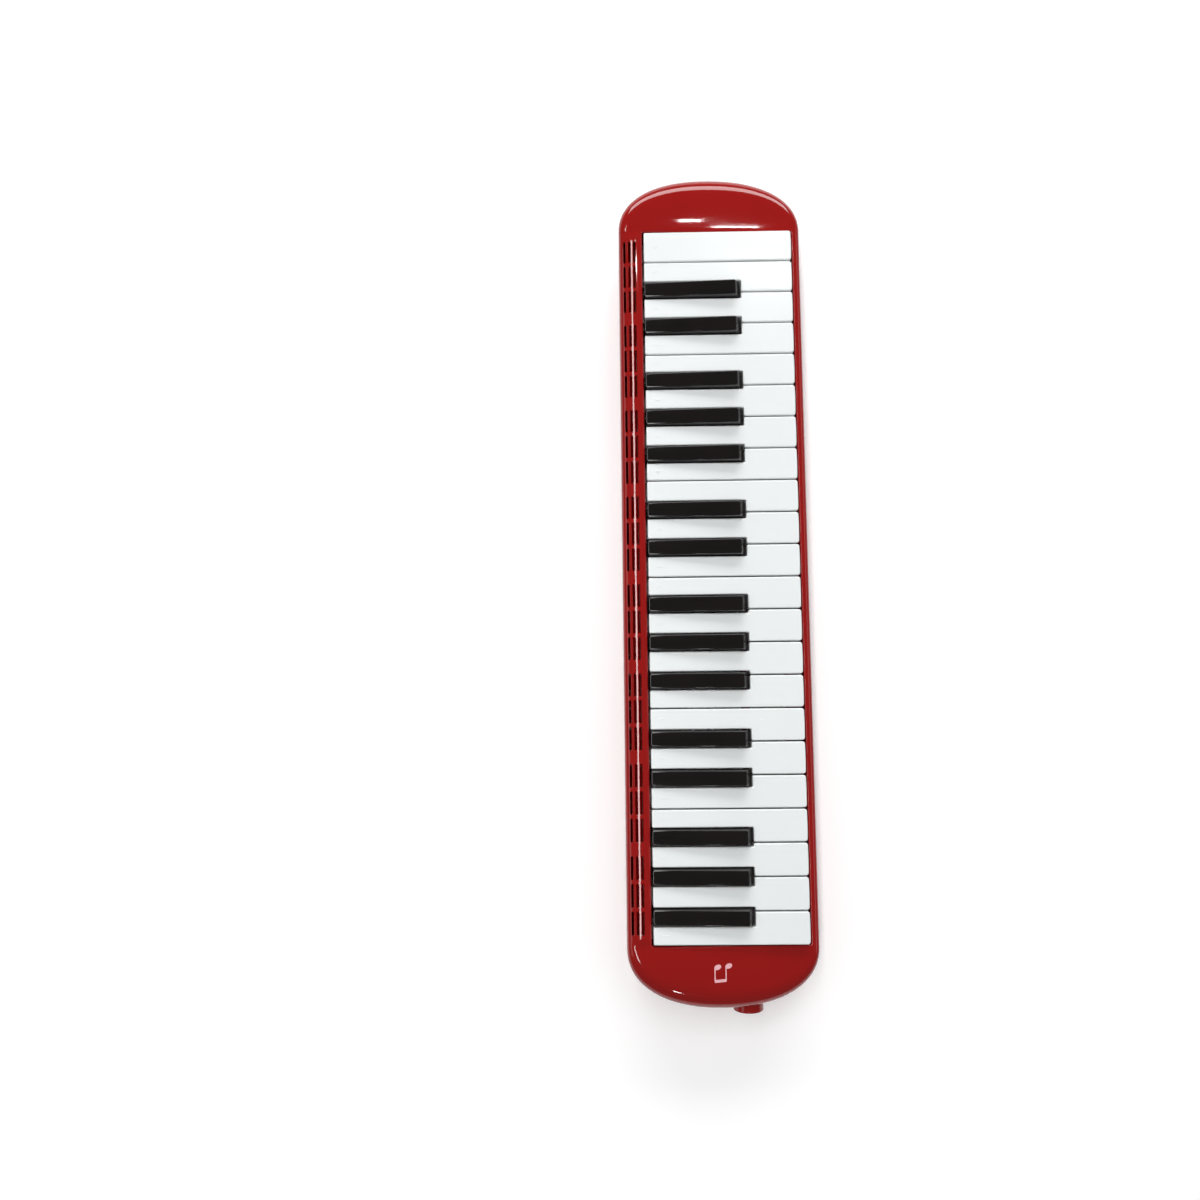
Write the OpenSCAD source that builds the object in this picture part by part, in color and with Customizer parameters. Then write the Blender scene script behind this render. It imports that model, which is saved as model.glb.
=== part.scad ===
// Thirty-seven-key melodica: two case halves, a sealed reed chamber, 37 sprung key levers
// on one rod, a mouthpiece socket, a water release button and a hand strap.
// +X runs towards the treble keys, +Y towards the sound grille, +Z up from the table.

/* [Case] */
// Length of the case, without the mouthpiece socket
body_l = 482; // [480:1:486]
// Width of the case
body_w = 107.4; // [107:0.1:108.4]
// Depth of each rounded end
end_depth = 34; // [33:1:36]
// Roundness of the ends, from an ellipse upwards to squarer
end_power = 2.2; // [2.1:0.05:2.4]
// Wall thickness of both case halves
wall = 2; // [1.8:0.1:2.2]
// Height of the flat underside above the table
under_z = 8.5; // [8.4:0.1:8.6]
// Height of the parting line between the two case halves
seam_z = 22; // [21:0.5:23]
// Height of the front rim of the upper case
rim_z = 35.6; // [35:0.1:36]
// Height of the grille strip behind the keys
strip_z = 39; // [38.8:0.1:39.2]

/* [Keys] */
// Centre-to-centre pitch of the white keys
white_pitch = 18.6; // [18.5:0.05:18.65]
// Gap between neighbouring white keys
key_gap = 0.8; // [0.6:0.1:1]
// Width of a black key at its base
black_w = 9.2; // [9:0.1:9.4]
// Height of the playing surface of the white keys at rest
key_z = 39.5; // [39.3:0.1:39.7]
// Height of a black key's front edge above the white keys
black_rise = 5; // [4:0.5:6]
// Shift of the outer black keys in a group of three
trio_shift = 3.1; // [2.8:0.1:3.2]
// Shift of both black keys in a group of two
pair_shift = 1.6; // [1.4:0.1:1.8]

/* [Mechanism] */
// Radius of the rod that all keys turn on
rod_r = 1.5; // [1.4:0.05:1.5]
// Radial clearance of a key on the rod
rod_clear = 0.06; // [0.04:0.01:0.08]
// Radius of the mouthpiece socket's bore
socket_r = 5.5; // [5:0.1:5.6]
// How far the mouthpiece socket stands out of the case
socket_out = 3.8; // [3.4:0.2:5]
// Travel of the water release button
drain_travel = 1.5; // [1:0.1:1.5]

/* [Hand strap] */
// Width of the strap
strap_w = 14.6; // [14:0.1:15]
// Thickness of the strap
strap_t = 1.6; // [1.4:0.1:1.6]
// Finger room between the case and the middle of the strap
strap_gap = 7; // [6:0.5:7]

/* [Hidden] */
$fn = 48;
half_l = body_l / 2;
half_w = body_w / 2;
straight_l = half_l - end_depth;
end_steps = 20;

// Keyboard opening and the rows of keys
white_count = 22;
keys_half = white_count * white_pitch / 2;
open_x = keys_half + 0.6;
open_front_y = -48.6;
open_rear_y = 39.7;
skirt_t = 1.6;
skirt_z = 32;
key_front_y = -47.5;
key_rear_y = 38.7;
notch_y = -17.7;
black_front_y = -16.5;
key_wall = 1.2;
key_skin = 2.2;
front_skirt_z = 29;
rear_skirt_z = 33;
side_clear = 0.7;

// Lever geometry shared by all keys
pivot_y = 14;
pivot_z = 28.5;
boss_r = 3.3;
boss_w = 4.6;
web_w = 3;
web_front_y = -12;
carrier_z = 25.6;
carrier_t = 1.4;
pad_w = 8.2;
pad_l = 9;
pad_y = 39;
pad_lift = 0.05;
white_web_z = 26.2;
black_web_z = 27;

// Reed chamber levels, from the cover up to the deck that the pads close
cover_z = 11.5;
cover_t = 1.5;
gasket_t = 0.6;
chamber_wall = 1.8;
reed_plate_z = 19.2;
reed_plate_t = 1;
cell_top_z = 22;
deck_z = 23.5;
chamber_x = 203.6;
chamber_front_y = -23.5;
chamber_rear_y = 13;
deck_rear_y = 43.6;
deck_rear_z = 18.4;
shelf_front_y = -45;
cell_w = 5.4;
cell_front_y = -16;
cell_rear_y = 42.4;
reed_front_y = -19.5;
reed_rear_y = 10.5;
reed_root_l = 4.2;
lug_r = 3.4;
post_t = 1.5;
guide_pin_w = 2;
guide_pin_y = [-37, -33];
front_felt_y = [-45, -39];
rear_felt_y = [-19, -14];
felt_t = 1.8;
rear_felt_t = 1.5;
comb_y = [0, 6];
comb_t = 0.4;

// Lower case outline: a flat front part, a slope up to the rear, then a steep side
front_under_r = 7.5;
rim_r = 5;
strip_r = 5.5;
crease_y = 15;
rear_crease_y = 44.6;
rear_crease_z = 15;
rear_side_z = 20;
slope = (rear_crease_z - under_z) / (rear_crease_y - crease_y);
slope_angle = atan(slope);

// Fasteners: the sizes of each kind, then [x, y] of each
screw_r = 1.5;
thin_screw_r = 1.2;
screw_clear = 0.05;
head_r = 3;
head_clear = 0.3;
post_r = 4.2;
post_hole_z = 31;
well_r = 2.6;
well_wall_r = 4.6;
well_top_z = 17.5;
well_head_r = 2.4;
well_head_z = 17.4;
well_head_t = 1.6;
rear_post_r = 5;
rear_recess_z = 15.4;
rear_head_z = 13.4;
rear_head_t = 2;
chamber_post_r = 4.5;
chamber_recess_z = 10.7;
chamber_head_z = 9.1;
cover_head_r = 2;
cover_head_t = 0.9;
cover_head_out = 0.3;
plate_screw_r = 0.9;
plate_head_r = 1.7;
plate_head_t = 0.8;
well_screws = [[218, -34], [-218, -34]];
rear_screws = [[216.5, 31], [-217, 31]];
chamber_screw_places = [[204, -25], [58, -25], [-72.5, -24.5], [-204, -25.5]];
cover_screw_places = [[-140, -26], [-10, -26], [130, -26],
                      [-199, 15.5], [-100, 15.5], [0, 15.5], [100, 15.5], [199, 15.5]];
plate_screw_x = [15, 80, 145, 190];

// Mouthpiece socket, water release, feet and strap
socket_y = -15;
socket_z = 17.5;
socket_wall_r = 8.5;
socket_neck_r = 7;
socket_depth = 22;
socket_clear = 0.05;
port_z = 16.9;
port_r = 3.1;
socket_hole_l = 20;
socket_neck_x = -207;
drain_x = 183.4;
drain_y = -15.5;
drain_r = 4.25;
drain_flange_r = 4.9;
drain_stem_r = 1.5;
drain_recess_r = 5.4;
drain_recess_z = 9.3;
turret_r = 6;
turret_top_z = 15.3;
feet = [[184, -33.5], [-174.5, -32], [184, 31.7], [-175.5, 35]];
foot_tip_r = 3.2;
foot_base_r = 7.2;
strap_y = 32.3;
strap_ends = [-62, 100];
holder_spans = [[-78.5, -44.5], [83.2, 116.6]];
holder_h = 4.4;
holder_w = 17.6;
eye_x = [-226.2, -204.7];
eye_bar_x = [-220.8, -213.8];
eye_y = [0, 6.5];
eye_depth = 5;

// Sound slots in the slope: [x of the first, how many]
slot_pitch = 11.9;
slot_groups = [[-197, 1], [-162.1, 7], [-23.5, 1], [23.9, 4], [128.2, 4], [200, 1]];
slot_y = [27.5, 43.5];
slot_w = 2;

// Grille behind the keys: eight groups of three cells in three rows
grille_groups = 8;
grille_pitch = 50.72;
grille_cell_l = 12.9;
grille_bridge = 2.15;
grille_slot_w = 1.35;
grille_rows = [44.3, 47.2, 50.1];

function two(i) = i < 10 ? str("0", i) : str(i);

// ---- keyboard layout -------------------------------------------------------

// The lowest key is an F, so keys 0 to 6 of each octave are F G A B C D E.
function degree(i) = i % 7;
function has_black(i) = i >= 0 && i < white_count - 1 && degree(i) != 3 && degree(i) != 6;
function black_shift(i) = degree(i) == 0 ? -trio_shift : degree(i) == 2 ? trio_shift
    : degree(i) == 4 ? -pair_shift : degree(i) == 5 ? pair_shift : 0;
function white_x(i) = (i - (white_count - 1) / 2) * white_pitch;
function black_x(i) = white_x(i) + white_pitch / 2 + black_shift(i);
function white_left(i) = has_black(i - 1) ? black_x(i - 1) + black_w / 2 + side_clear
    : white_x(i) - (white_pitch - key_gap) / 2;
function white_right(i) = has_black(i) ? black_x(i) - black_w / 2 - side_clear
    : white_x(i) + (white_pitch - key_gap) / 2;
function white_lever_x(i) = (white_left(i) + white_right(i)) / 2;
BLACKS = [for (i = [0:white_count - 1]) if (has_black(i)) i];
LEVERS = [for (i = [0:white_count - 1])
    each concat([white_lever_x(i)], has_black(i) ? [black_x(i)] : [])];

// ---- shared shapes ---------------------------------------------------------

// Points of a circular or elliptical arc from angle a to angle b.
function arc(cx, cy, rx, ry, a, b, n = 8) =
    [for (i = [0:n]) let (t = a + (b - a) * i / n) [cx + rx * cos(t), cy + ry * sin(t)]];

// Plan outline of the case, inset by t: straight sides and superellipse ends.
function end_points(t, side) = [for (i = [0:end_steps]) let (a = 90 - 180 * i / end_steps)
    [side * (straight_l + (end_depth - t) * pow(abs(cos(a)), 2 / end_power)),
     side * (half_w - t) * sign(sin(a)) * pow(abs(sin(a)), 2 / end_power)]];
function outline(t) = concat(end_points(t, 1), end_points(t, -1));

// Cross-section of the upper case, inset by t: a rounded front rim, a top that climbs
// gently to the grille strip, and a rounded rear edge.
function upper_section(t) = concat(
    [[-half_w + t, seam_z - t]],
    arc(-half_w + rim_r, rim_z - rim_r, rim_r - t, rim_r - t, 180, 92),
    [[open_rear_y, strip_z - t]],
    arc(half_w - strip_r, strip_z - strip_r, strip_r - t, strip_r - t, 90, 0),
    [[half_w - t, seam_z - t]]);

// Cross-section of the lower case, inset by t.
function lower_section(t) = concat(
    [[-half_w + t, seam_z + t]],
    arc(-half_w + front_under_r, under_z + front_under_r, front_under_r - t, front_under_r - t, 180, 270),
    [[crease_y, under_z + t], [rear_crease_y - t / 3, rear_crease_z + t],
     [half_w - t, rear_side_z + t / 2], [half_w - t, seam_z + t]]);

// Long section of a case half, inset by t: its two ends are quarter ellipses.
function upper_long_section(t) = concat(
    [[-half_l + t, seam_z - t]],
    arc(-half_l + 14, strip_z - 8.6, 14 - t, 9 - t, 180, 90),
    arc(half_l - 14, strip_z - 8.6, 14 - t, 9 - t, 90, 0),
    [[half_l - t, seam_z - t]]);
function lower_long_section(t) = concat(
    [[half_l - t, seam_z + t]],
    arc(half_l - 10, under_z + 7.8, 10 - t, 8 - t, 0, -90),
    arc(-half_l + 10, under_z + 7.8, 10 - t, 8 - t, -90, -180),
    [[-half_l + t, seam_z + t]]);

// Everything is drawn about the case's centre, then moved so that the origin lies
// under the middle of the whole instrument, socket included.
module placed(c) color(c) translate([socket_out / 2, 0, 0]) children();

// A y-z polygon swept along x from x to x + w.
module along_x(x, w, points) translate([x, 0, 0]) rotate([90, 0, 90]) linear_extrude(w) polygon(points);
// An x-z polygon swept across the whole case.
module across_y(points) translate([0, half_w + 5, 0]) rotate([90, 0, 0])
    linear_extrude(body_w + 10) polygon(points);
module box(low, high) translate(low) cube(high - low);
module peg(place, r, z0, z1) translate([place[0], place[1], z0]) cylinder(r = r, h = z1 - z0);

module case_form(t, section, long_section) intersection() {
    translate([0, 0, seam_z - 30]) linear_extrude(60) polygon(outline(t));
    along_x(-half_l - 5, body_l + 10, section);
    across_y(long_section);
}

// ---- case ------------------------------------------------------------------

module upper_shell() difference() {
    case_form(0, upper_section(0), upper_long_section(0));
    case_form(wall, upper_section(wall), upper_long_section(wall));
}

// Skirt that hangs from the edge of the keyboard opening along the front and the ends.
module opening_skirt() intersection() {
    box([-open_x - skirt_t, open_front_y - skirt_t, skirt_z], [open_x + skirt_t, open_rear_y, strip_z]);
    case_form(0, upper_section(0), upper_long_section(0));
}

// Height of the top of the upper case over a place behind the front rim.
function top_z(y) = rim_z + (strip_z - rim_z) * (y + half_w - rim_r) / (open_rear_y + half_w - rim_r);

module grille_slots() for (g = [0:grille_groups - 1], c = [-1:1], y = grille_rows)
    translate([(g - (grille_groups - 1) / 2) * grille_pitch
               + c * (grille_cell_l + grille_bridge), y, 30])
        translate([-grille_cell_l / 2, -grille_slot_w / 2, 0]) cube([grille_cell_l, grille_slot_w, 12]);

module upper_case() placed([0.62, 0.05, 0.04]) difference() {
    union() {
        upper_shell();
        opening_skirt();
        for (s = concat(well_screws, rear_screws)) peg(s, post_r, seam_z, top_z(s[1]) - wall / 2);
    }
    box([-open_x, open_front_y, 25], [open_x, open_rear_y, 50]);
    grille_slots();
    for (s = concat(well_screws, rear_screws)) peg(s, screw_r + screw_clear, seam_z - 1, post_hole_z);
    socket_hole();
}

// The hole that both case halves leave for the mouthpiece socket.
module socket_hole() translate([-half_l - 5, socket_y, socket_z]) rotate([0, 90, 0]) {
    cylinder(r = socket_wall_r + socket_clear, h = socket_hole_l + 5);
    cylinder(r = socket_neck_r + socket_clear, h = half_l + 5 + socket_neck_x);
}

module sound_slots() for (g = slot_groups, i = [0:g[1] - 1])
    translate([g[0] + i * slot_pitch, 0, 4]) linear_extrude(18) {
        translate([-slot_w / 2, slot_y[0] + slot_w / 2]) square([slot_w, slot_y[1] - slot_y[0] - slot_w]);
        for (y = slot_y + [slot_w / 2, -slot_w / 2]) translate([0, y]) circle(slot_w / 2, $fn = 24);
    }

module lower_shell() difference() {
    case_form(0, lower_section(0), lower_long_section(0));
    case_form(wall, lower_section(wall), lower_long_section(wall));
}

// The feet are hollow-free pegs moulded with the shell; the rear pair is longer, because
// the underside climbs there. The rim of each runs a little way into the shell.
module foot(place) translate([place[0], place[1], 0]) {
    top = place[1] > 0 ? rear_crease_z - 0.6 : under_z + 0.5;
    cylinder(r1 = foot_tip_r, r2 = foot_base_r, h = top);
}

module lower_case() placed([0.62, 0.05, 0.04]) difference() {
    union() {
        lower_shell();
        for (f = feet) foot(f);
        for (s = well_screws) peg(s, well_wall_r, under_z + wall / 2, seam_z);
        for (s = rear_screws) peg(s, rear_post_r, under_z + 5.5, seam_z);
        for (s = chamber_screw_places) peg(s, chamber_post_r, under_z + wall / 2, cover_z - 0.1);
        box([eye_x[0] - 1, eye_y[0] - 1, under_z + 0.5],
            [eye_x[1] + 1, eye_y[1] + 1, under_z + eye_depth + 1]);
        box([-215, socket_y - 9, under_z + 1], [-213, socket_y + 9, socket_z]);
    }
    sound_slots();
    for (s = well_screws) {
        peg(s, well_r, 0, well_top_z);
        peg(s, well_head_r + screw_clear, well_top_z - 1, well_head_z + well_head_t + 0.1);
        peg(s, screw_r + screw_clear, well_head_z + well_head_t, seam_z + 1);
    }
    for (s = rear_screws) {
        peg(s, head_r + head_clear, 0, rear_recess_z);
        peg(s, screw_r + screw_clear, rear_recess_z - 1, seam_z + 1);
    }
    for (s = chamber_screw_places) {
        peg(s, head_r + head_clear, 0, chamber_recess_z);
        peg(s, screw_r + screw_clear, chamber_recess_z - 1, cover_z);
    }
    difference() {
        box([eye_x[0], eye_y[0], 0], [eye_x[1], eye_y[1], under_z + eye_depth]);
        box([eye_bar_x[0], eye_y[0] - 1, under_z], [eye_bar_x[1], eye_y[1] + 1, under_z + 2]);
    }
    peg([drain_x, drain_y], drain_recess_r, 0, drain_recess_z);
    peg([drain_x, drain_y], drain_r + 0.1, 0, 12);
    socket_hole();
}

// ---- keys ------------------------------------------------------------------

// Web, pivot boss, tail and pad that every key carries under its playing surface.
module lever_web(x, bottom_z) {
    along_x(x - web_w / 2, web_w, [
        [web_front_y, key_z - key_skin + 0.5], [web_front_y, bottom_z + 2], [web_front_y + 1, bottom_z],
        [pivot_y - 2, bottom_z], [pivot_y + 6, carrier_z], [pad_y + pad_l / 2, carrier_z],
        [pad_y + pad_l / 2, carrier_z + carrier_t], [key_rear_y, carrier_z + 4],
        [key_rear_y, key_z - key_skin + 0.5]]);
    translate([x - boss_w / 2, pivot_y, pivot_z]) rotate([0, 90, 0]) cylinder(r = boss_r, h = boss_w);
    box([x - pad_w / 2, pad_y - pad_l / 2, carrier_z],
        [x + pad_w / 2, pad_y + pad_l / 2, carrier_z + carrier_t]);
}
module rod_bore(x) translate([x - boss_w, pivot_y, pivot_z]) rotate([0, 90, 0])
    cylinder(r = rod_r + rod_clear, h = 2 * boss_w);
module pad(x) color([0.25, 0.24, 0.23])
    box([x - pad_w / 2, pad_y - pad_l / 2, deck_z + pad_lift],
        [x + pad_w / 2, pad_y + pad_l / 2, carrier_z]);

module white_key(i) {
    half = (white_pitch - key_gap) / 2;
    x = white_x(i);
    left = white_left(i);
    right = white_right(i);
    lever = white_lever_x(i);
    placed([0.95, 0.95, 0.93]) difference() {
        union() {
            difference() {
                union() {
                    box([x - half, key_front_y, front_skirt_z], [x + half, notch_y, key_z]);
                    box([left, notch_y - 1, rear_skirt_z], [right, key_rear_y, key_z]);
                }
                box([x - half + key_wall, key_front_y + key_wall, 20],
                    [x + half - key_wall, notch_y - key_wall, key_z - key_skin]);
                box([left + key_wall, notch_y - 2 * key_wall, 20],
                    [right - key_wall, key_rear_y - key_wall, key_z - key_skin]);
            }
            lever_web(lever, white_web_z);
        }
        rod_bore(lever);
    }
    placed([0.25, 0.24, 0.23]) pad(lever);
}

module black_key(k) {
    x = black_x(BLACKS[k]);
    top = key_z + black_rise;
    placed([0.03, 0.02, 0.02]) difference() {
        union() {
            difference() {
                along_x(x - black_w / 2, black_w, [
                    [black_front_y, key_z - 1], [black_front_y + 1.9, top - 0.4], [black_front_y + 2.6, top],
                    [key_rear_y, key_z + 1.1], [key_rear_y, 34], [black_front_y + 2.6, 34],
                    [black_front_y + 2.6, 28.2], [black_front_y + 1.4, 28.2]]);
                along_x(x - black_w / 2 + key_wall, black_w - 2 * key_wall, [
                    [black_front_y + 3.2, top - 2.4], [key_rear_y - 1.5, key_z - 0.9],
                    [key_rear_y - 1.5, 33], [black_front_y + 3.2, 33]]);
            }
            lever_web(x, black_web_z);
        }
        rod_bore(x);
    }
    placed([0.25, 0.24, 0.23]) pad(x);
}

// ---- mechanism -------------------------------------------------------------

module key_pivot_rod() placed([0.7, 0.7, 0.72])
    translate([-chamber_x + 0.3, pivot_y, pivot_z]) rotate([0, 90, 0])
        cylinder(r = rod_r, h = 2 * chamber_x - 0.6);

// One steel strip with a sprung finger under every lever, just ahead of the rod.
module key_spring_comb() placed([0.75, 0.75, 0.78]) {
    box([-chamber_x + 2, comb_y[0], deck_z], [chamber_x - 2, comb_y[1], deck_z + comb_t]);
    for (i = [0:white_count - 1]) spring_finger(white_lever_x(i), white_web_z);
    for (b = BLACKS) spring_finger(black_x(b), black_web_z);
}
module spring_finger(x, top) along_x(x - 1.2, 2.4, [
    [0.5, deck_z], [0.5, deck_z + comb_t], [-1, deck_z + comb_t + 0.1],
    [-10.4, top - 0.05], [-10.8, top - 0.4], [-1, deck_z + 0.1]]);

module key_rest_felt() placed([0.45, 0.08, 0.08]) {
    box([-chamber_x + 1, front_felt_y[0], deck_z], [chamber_x - 1, front_felt_y[1], deck_z + felt_t]);
    box([-chamber_x + 1, rear_felt_y[0], deck_z], [chamber_x - 1, rear_felt_y[1], deck_z + rear_felt_t]);
}

// Rod posts stand between every second pair of levers, and at both ends.
post_x = concat([-chamber_x + post_t / 2],
    [for (i = [1:2:len(LEVERS) - 2]) (LEVERS[i] + LEVERS[i + 1]) / 2], [chamber_x - post_t / 2]);

module chamber_body() placed([0.86, 0.86, 0.84]) difference() {
    union() {
        box([-chamber_x, chamber_front_y, cover_z + cover_t + gasket_t], [chamber_x, chamber_rear_y, deck_z]);
        box([-chamber_x, chamber_rear_y - 1, deck_rear_z], [chamber_x, deck_rear_y, deck_z]);
        box([-chamber_x + 0.6, shelf_front_y, deck_z - 1.6], [chamber_x - 0.6, chamber_front_y + 1, deck_z]);
        for (s = concat(chamber_screw_places, cover_screw_places))
            peg(s, lug_r, cover_z + cover_t + gasket_t, deck_z - 1);
        for (x = post_x)
            box([x - post_t / 2, pivot_y - 3, deck_z - 0.5], [x + post_t / 2, pivot_y + 3, pivot_z + 2.6]);
        for (i = [0:white_count - 1])
            box([white_x(i) - guide_pin_w / 2, guide_pin_y[0], deck_z - 0.5],
                [white_x(i) + guide_pin_w / 2, guide_pin_y[1], skirt_z]);
    }
    // Plenum under the reed plates
    box([-chamber_x + chamber_wall, chamber_front_y + chamber_wall, 10],
        [chamber_x - chamber_wall, chamber_rear_y - chamber_wall, reed_plate_z]);
    // Seats of the two reed plates
    box([-chamber_x + 2, reed_front_y - 0.05, 18],
        [chamber_x - 2, reed_rear_y + 0.05, reed_plate_z + reed_plate_t]);
    // One cell per reed, open to its tone hole at the rear
    for (x = LEVERS) {
        box([x - cell_w / 2, cell_front_y, reed_plate_z], [x + cell_w / 2, reed_rear_y, cell_top_z]);
        box([x - cell_w / 2, reed_rear_y - 1, reed_plate_z + reed_plate_t],
            [x + cell_w / 2, cell_rear_y, cell_top_z]);
        box([x - cell_w / 2, pad_y - 3.2, cell_top_z - 1], [x + cell_w / 2, pad_y + 3.2, deck_z + 1]);
    }
    translate([-chamber_x - 1, pivot_y, pivot_z]) rotate([0, 90, 0])
        cylinder(r = rod_r + 0.03, h = 2 * chamber_x + 2);
    for (s = concat(chamber_screw_places, cover_screw_places))
        peg(s, thin_screw_r + screw_clear, 10, deck_z - 2.4);
    for (p = plate_screw_places()) peg(p, plate_screw_r + screw_clear, 18, cell_top_z + 0.6);
    translate([-chamber_x - 1, socket_y, port_z]) rotate([0, 90, 0]) cylinder(r = port_r, h = 4);
}

// Reed plate screws sit in front of the cells.
function plate_screw_places() = [for (s = [-1, 1], x = plate_screw_x) [s * x, -17.8]];

module chamber_gasket() placed([0.1, 0.1, 0.1]) difference() {
    z = cover_z + cover_t;
    box([-chamber_x, chamber_front_y, z], [chamber_x, chamber_rear_y, z + gasket_t]);
    box([-chamber_x + chamber_wall, chamber_front_y + chamber_wall, z - 1],
        [chamber_x - chamber_wall, chamber_rear_y - chamber_wall, z + 2]);
    for (s = chamber_screw_places) peg(s, 1.4, z - 1, z + 2);
}

module chamber_cover() placed([0.8, 0.8, 0.78]) difference() {
    union() {
        box([-chamber_x, chamber_front_y, cover_z], [chamber_x, chamber_rear_y, cover_z + cover_t]);
        for (s = concat(chamber_screw_places, cover_screw_places)) peg(s, lug_r, cover_z, cover_z + cover_t);
        peg([drain_x, drain_y], turret_r, cover_z, turret_top_z);
    }
    peg([drain_x, drain_y], turret_r - 0.9, 10, turret_top_z - 1);
    peg([drain_x, drain_y], 2.4, 10, 20);
    for (s = concat(chamber_screw_places, cover_screw_places)) peg(s, screw_r + screw_clear, 10, 20);
    for (s = cover_screw_places)
        peg(s, cover_head_r + 0.1, 10, cover_z + cover_head_t - cover_head_out + screw_clear);
}

// The reed plates stop short of the chamber ends; each has one slot per reed.
module reed_plate(low, high) placed([0.83, 0.68, 0.32]) difference() {
    box([low, reed_front_y, reed_plate_z], [high, reed_rear_y, reed_plate_z + reed_plate_t]);
    for (j = [0:len(LEVERS) - 1]) if (LEVERS[j] > low && LEVERS[j] < high)
        box([LEVERS[j] - reed_w(j) / 2 - 0.1, reed_tip_y(j) - 0.1, 15],
            [LEVERS[j] + reed_w(j) / 2 + 0.1, reed_rear_y - reed_root_l, 25]);
    for (p = plate_screw_places()) peg(p, plate_screw_r + screw_clear, 15, 25);
}
module reed_plate_bass() reed_plate(-chamber_x + 2.2, -0.2);
module reed_plate_treble() reed_plate(0.2, chamber_x - 2.2);

// Reeds grow shorter and narrower from bass to treble.
function reed_w(j) = 3.6 - 1.2 * j / (len(LEVERS) - 1);
function reed_l(j) = 20 - 10.5 * j / (len(LEVERS) - 1);
function reed_tip_y(j) = reed_rear_y - reed_root_l - reed_l(j);
module reeds() placed([0.88, 0.75, 0.4]) for (j = [0:len(LEVERS) - 1]) {
    x = LEVERS[j];
    box([x - reed_w(j) / 2, reed_tip_y(j), reed_plate_z - 0.3],
        [x + reed_w(j) / 2, reed_rear_y - 1, reed_plate_z]);
    peg([x, reed_rear_y - 2.4], 0.9, reed_plate_z - 0.6, reed_plate_z);
}

// ---- fasteners -------------------------------------------------------------

// A pan-head screw driven upwards from below, with a cross recess in its head.
module screw(place, z, r, head, head_t, length) difference() {
    union() {
        peg(place, head, z, z + head_t);
        peg(place, r, z + head_t - 0.1, z + head_t + length);
    }
    for (a = [0, 90]) translate([place[0], place[1], z]) rotate([0, 0, a])
        cube([1.3 * head, 0.3 * head, 0.9 * head_t], center = true);
}
module case_screws() placed([0.8, 0.8, 0.82]) {
    for (s = well_screws) screw(s, well_head_z, screw_r, well_head_r, well_head_t, 11);
    for (s = rear_screws) screw(s, rear_head_z, screw_r, head_r, rear_head_t, 15);
}
module chamber_screws() placed([0.8, 0.8, 0.82])
    for (s = chamber_screw_places)
        screw(s, chamber_head_z, thin_screw_r, head_r, chamber_recess_z - chamber_head_z, 9.5);
module chamber_cover_screws() placed([0.8, 0.8, 0.82])
    for (s = cover_screw_places)
        screw(s, cover_z - cover_head_out, thin_screw_r, cover_head_r, cover_head_t, 8);
module reed_plate_screws() placed([0.8, 0.8, 0.82])
    for (p = plate_screw_places())
        screw(p, reed_plate_z - plate_head_t, plate_screw_r, plate_head_r, plate_head_t, 2.8);

// ---- air supply ------------------------------------------------------------

module mouthpiece_socket() placed([0.6, 0.05, 0.04])
    translate([-half_l - socket_out, socket_y, socket_z]) rotate([0, 90, 0]) difference() {
        length = half_l + socket_out - chamber_x - 1.5;
        union() {
            cylinder(r = socket_wall_r, h = socket_depth);
            cylinder(r = socket_neck_r, h = length);
        }
        translate([0, 0, -1]) cylinder(r = socket_r, h = socket_depth);
        cylinder(r = socket_r - 1, h = length + 1);
    }
module socket_seal_ring() placed([0.1, 0.1, 0.1])
    translate([-chamber_x - 1.5, socket_y, socket_z]) rotate([0, 90, 0]) difference() {
        cylinder(r = socket_neck_r - 0.2, h = 1.5);
        translate([0, 0, -1]) cylinder(r = 5.3, h = 4);
    }

// The water release: a button under the case lifts a rubber disc off its seat.
module drain_button() placed([0.62, 0.05, 0.04]) {
    peg([drain_x, drain_y], drain_r, under_z - 0.6, 10.7);
    peg([drain_x, drain_y], drain_flange_r, 10.6, 11.2);
    peg([drain_x, drain_y], drain_stem_r, 11, turret_top_z + 1.4);
}
module drain_valve_seal() placed([0.1, 0.1, 0.1]) difference() {
    peg([drain_x, drain_y], 3.9, turret_top_z + 0.02, turret_top_z + 1.1);
    peg([drain_x, drain_y], drain_stem_r, 10, 20);
}
module drain_spring() placed([0.75, 0.75, 0.78])
    for (i = [0:2]) translate([drain_x, drain_y, 11.55 + i * 1.1])
        rotate_extrude() translate([3.4, 0]) circle(0.3, $fn = 16);

// ---- hand strap ------------------------------------------------------------

// A frame that lies on the slope of the underside: local z is 0 on the case's surface,
// and negative outwards, down to the table.
module on_slope() translate([0, strap_y, under_z + (strap_y - crease_y) * slope])
    rotate([slope_angle, 0, 0]) children();

strap_rest_z = -3.1;
strap_steps = 16;
function strap_line(z) = [for (i = [0:strap_steps]) let (s = i / strap_steps)
    [holder_spans[0][1] + s * (holder_spans[1][0] - holder_spans[0][1]),
     z - (strap_gap + strap_rest_z + strap_t) * sin(180 * s)]];
function reversed(list) = [for (i = [len(list) - 1:-1:0]) list[i]];

module hand_strap() placed([0.93, 0.93, 0.92]) on_slope()
    translate([0, strap_w / 2, 0]) rotate([90, 0, 0]) linear_extrude(strap_w)
        polygon(concat(
            [[strap_ends[0], strap_rest_z]], strap_line(strap_rest_z), [[strap_ends[1], strap_rest_z]],
            [[strap_ends[1], strap_rest_z + strap_t]], reversed(strap_line(strap_rest_z + strap_t)),
            [[strap_ends[0], strap_rest_z + strap_t]]));

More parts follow.
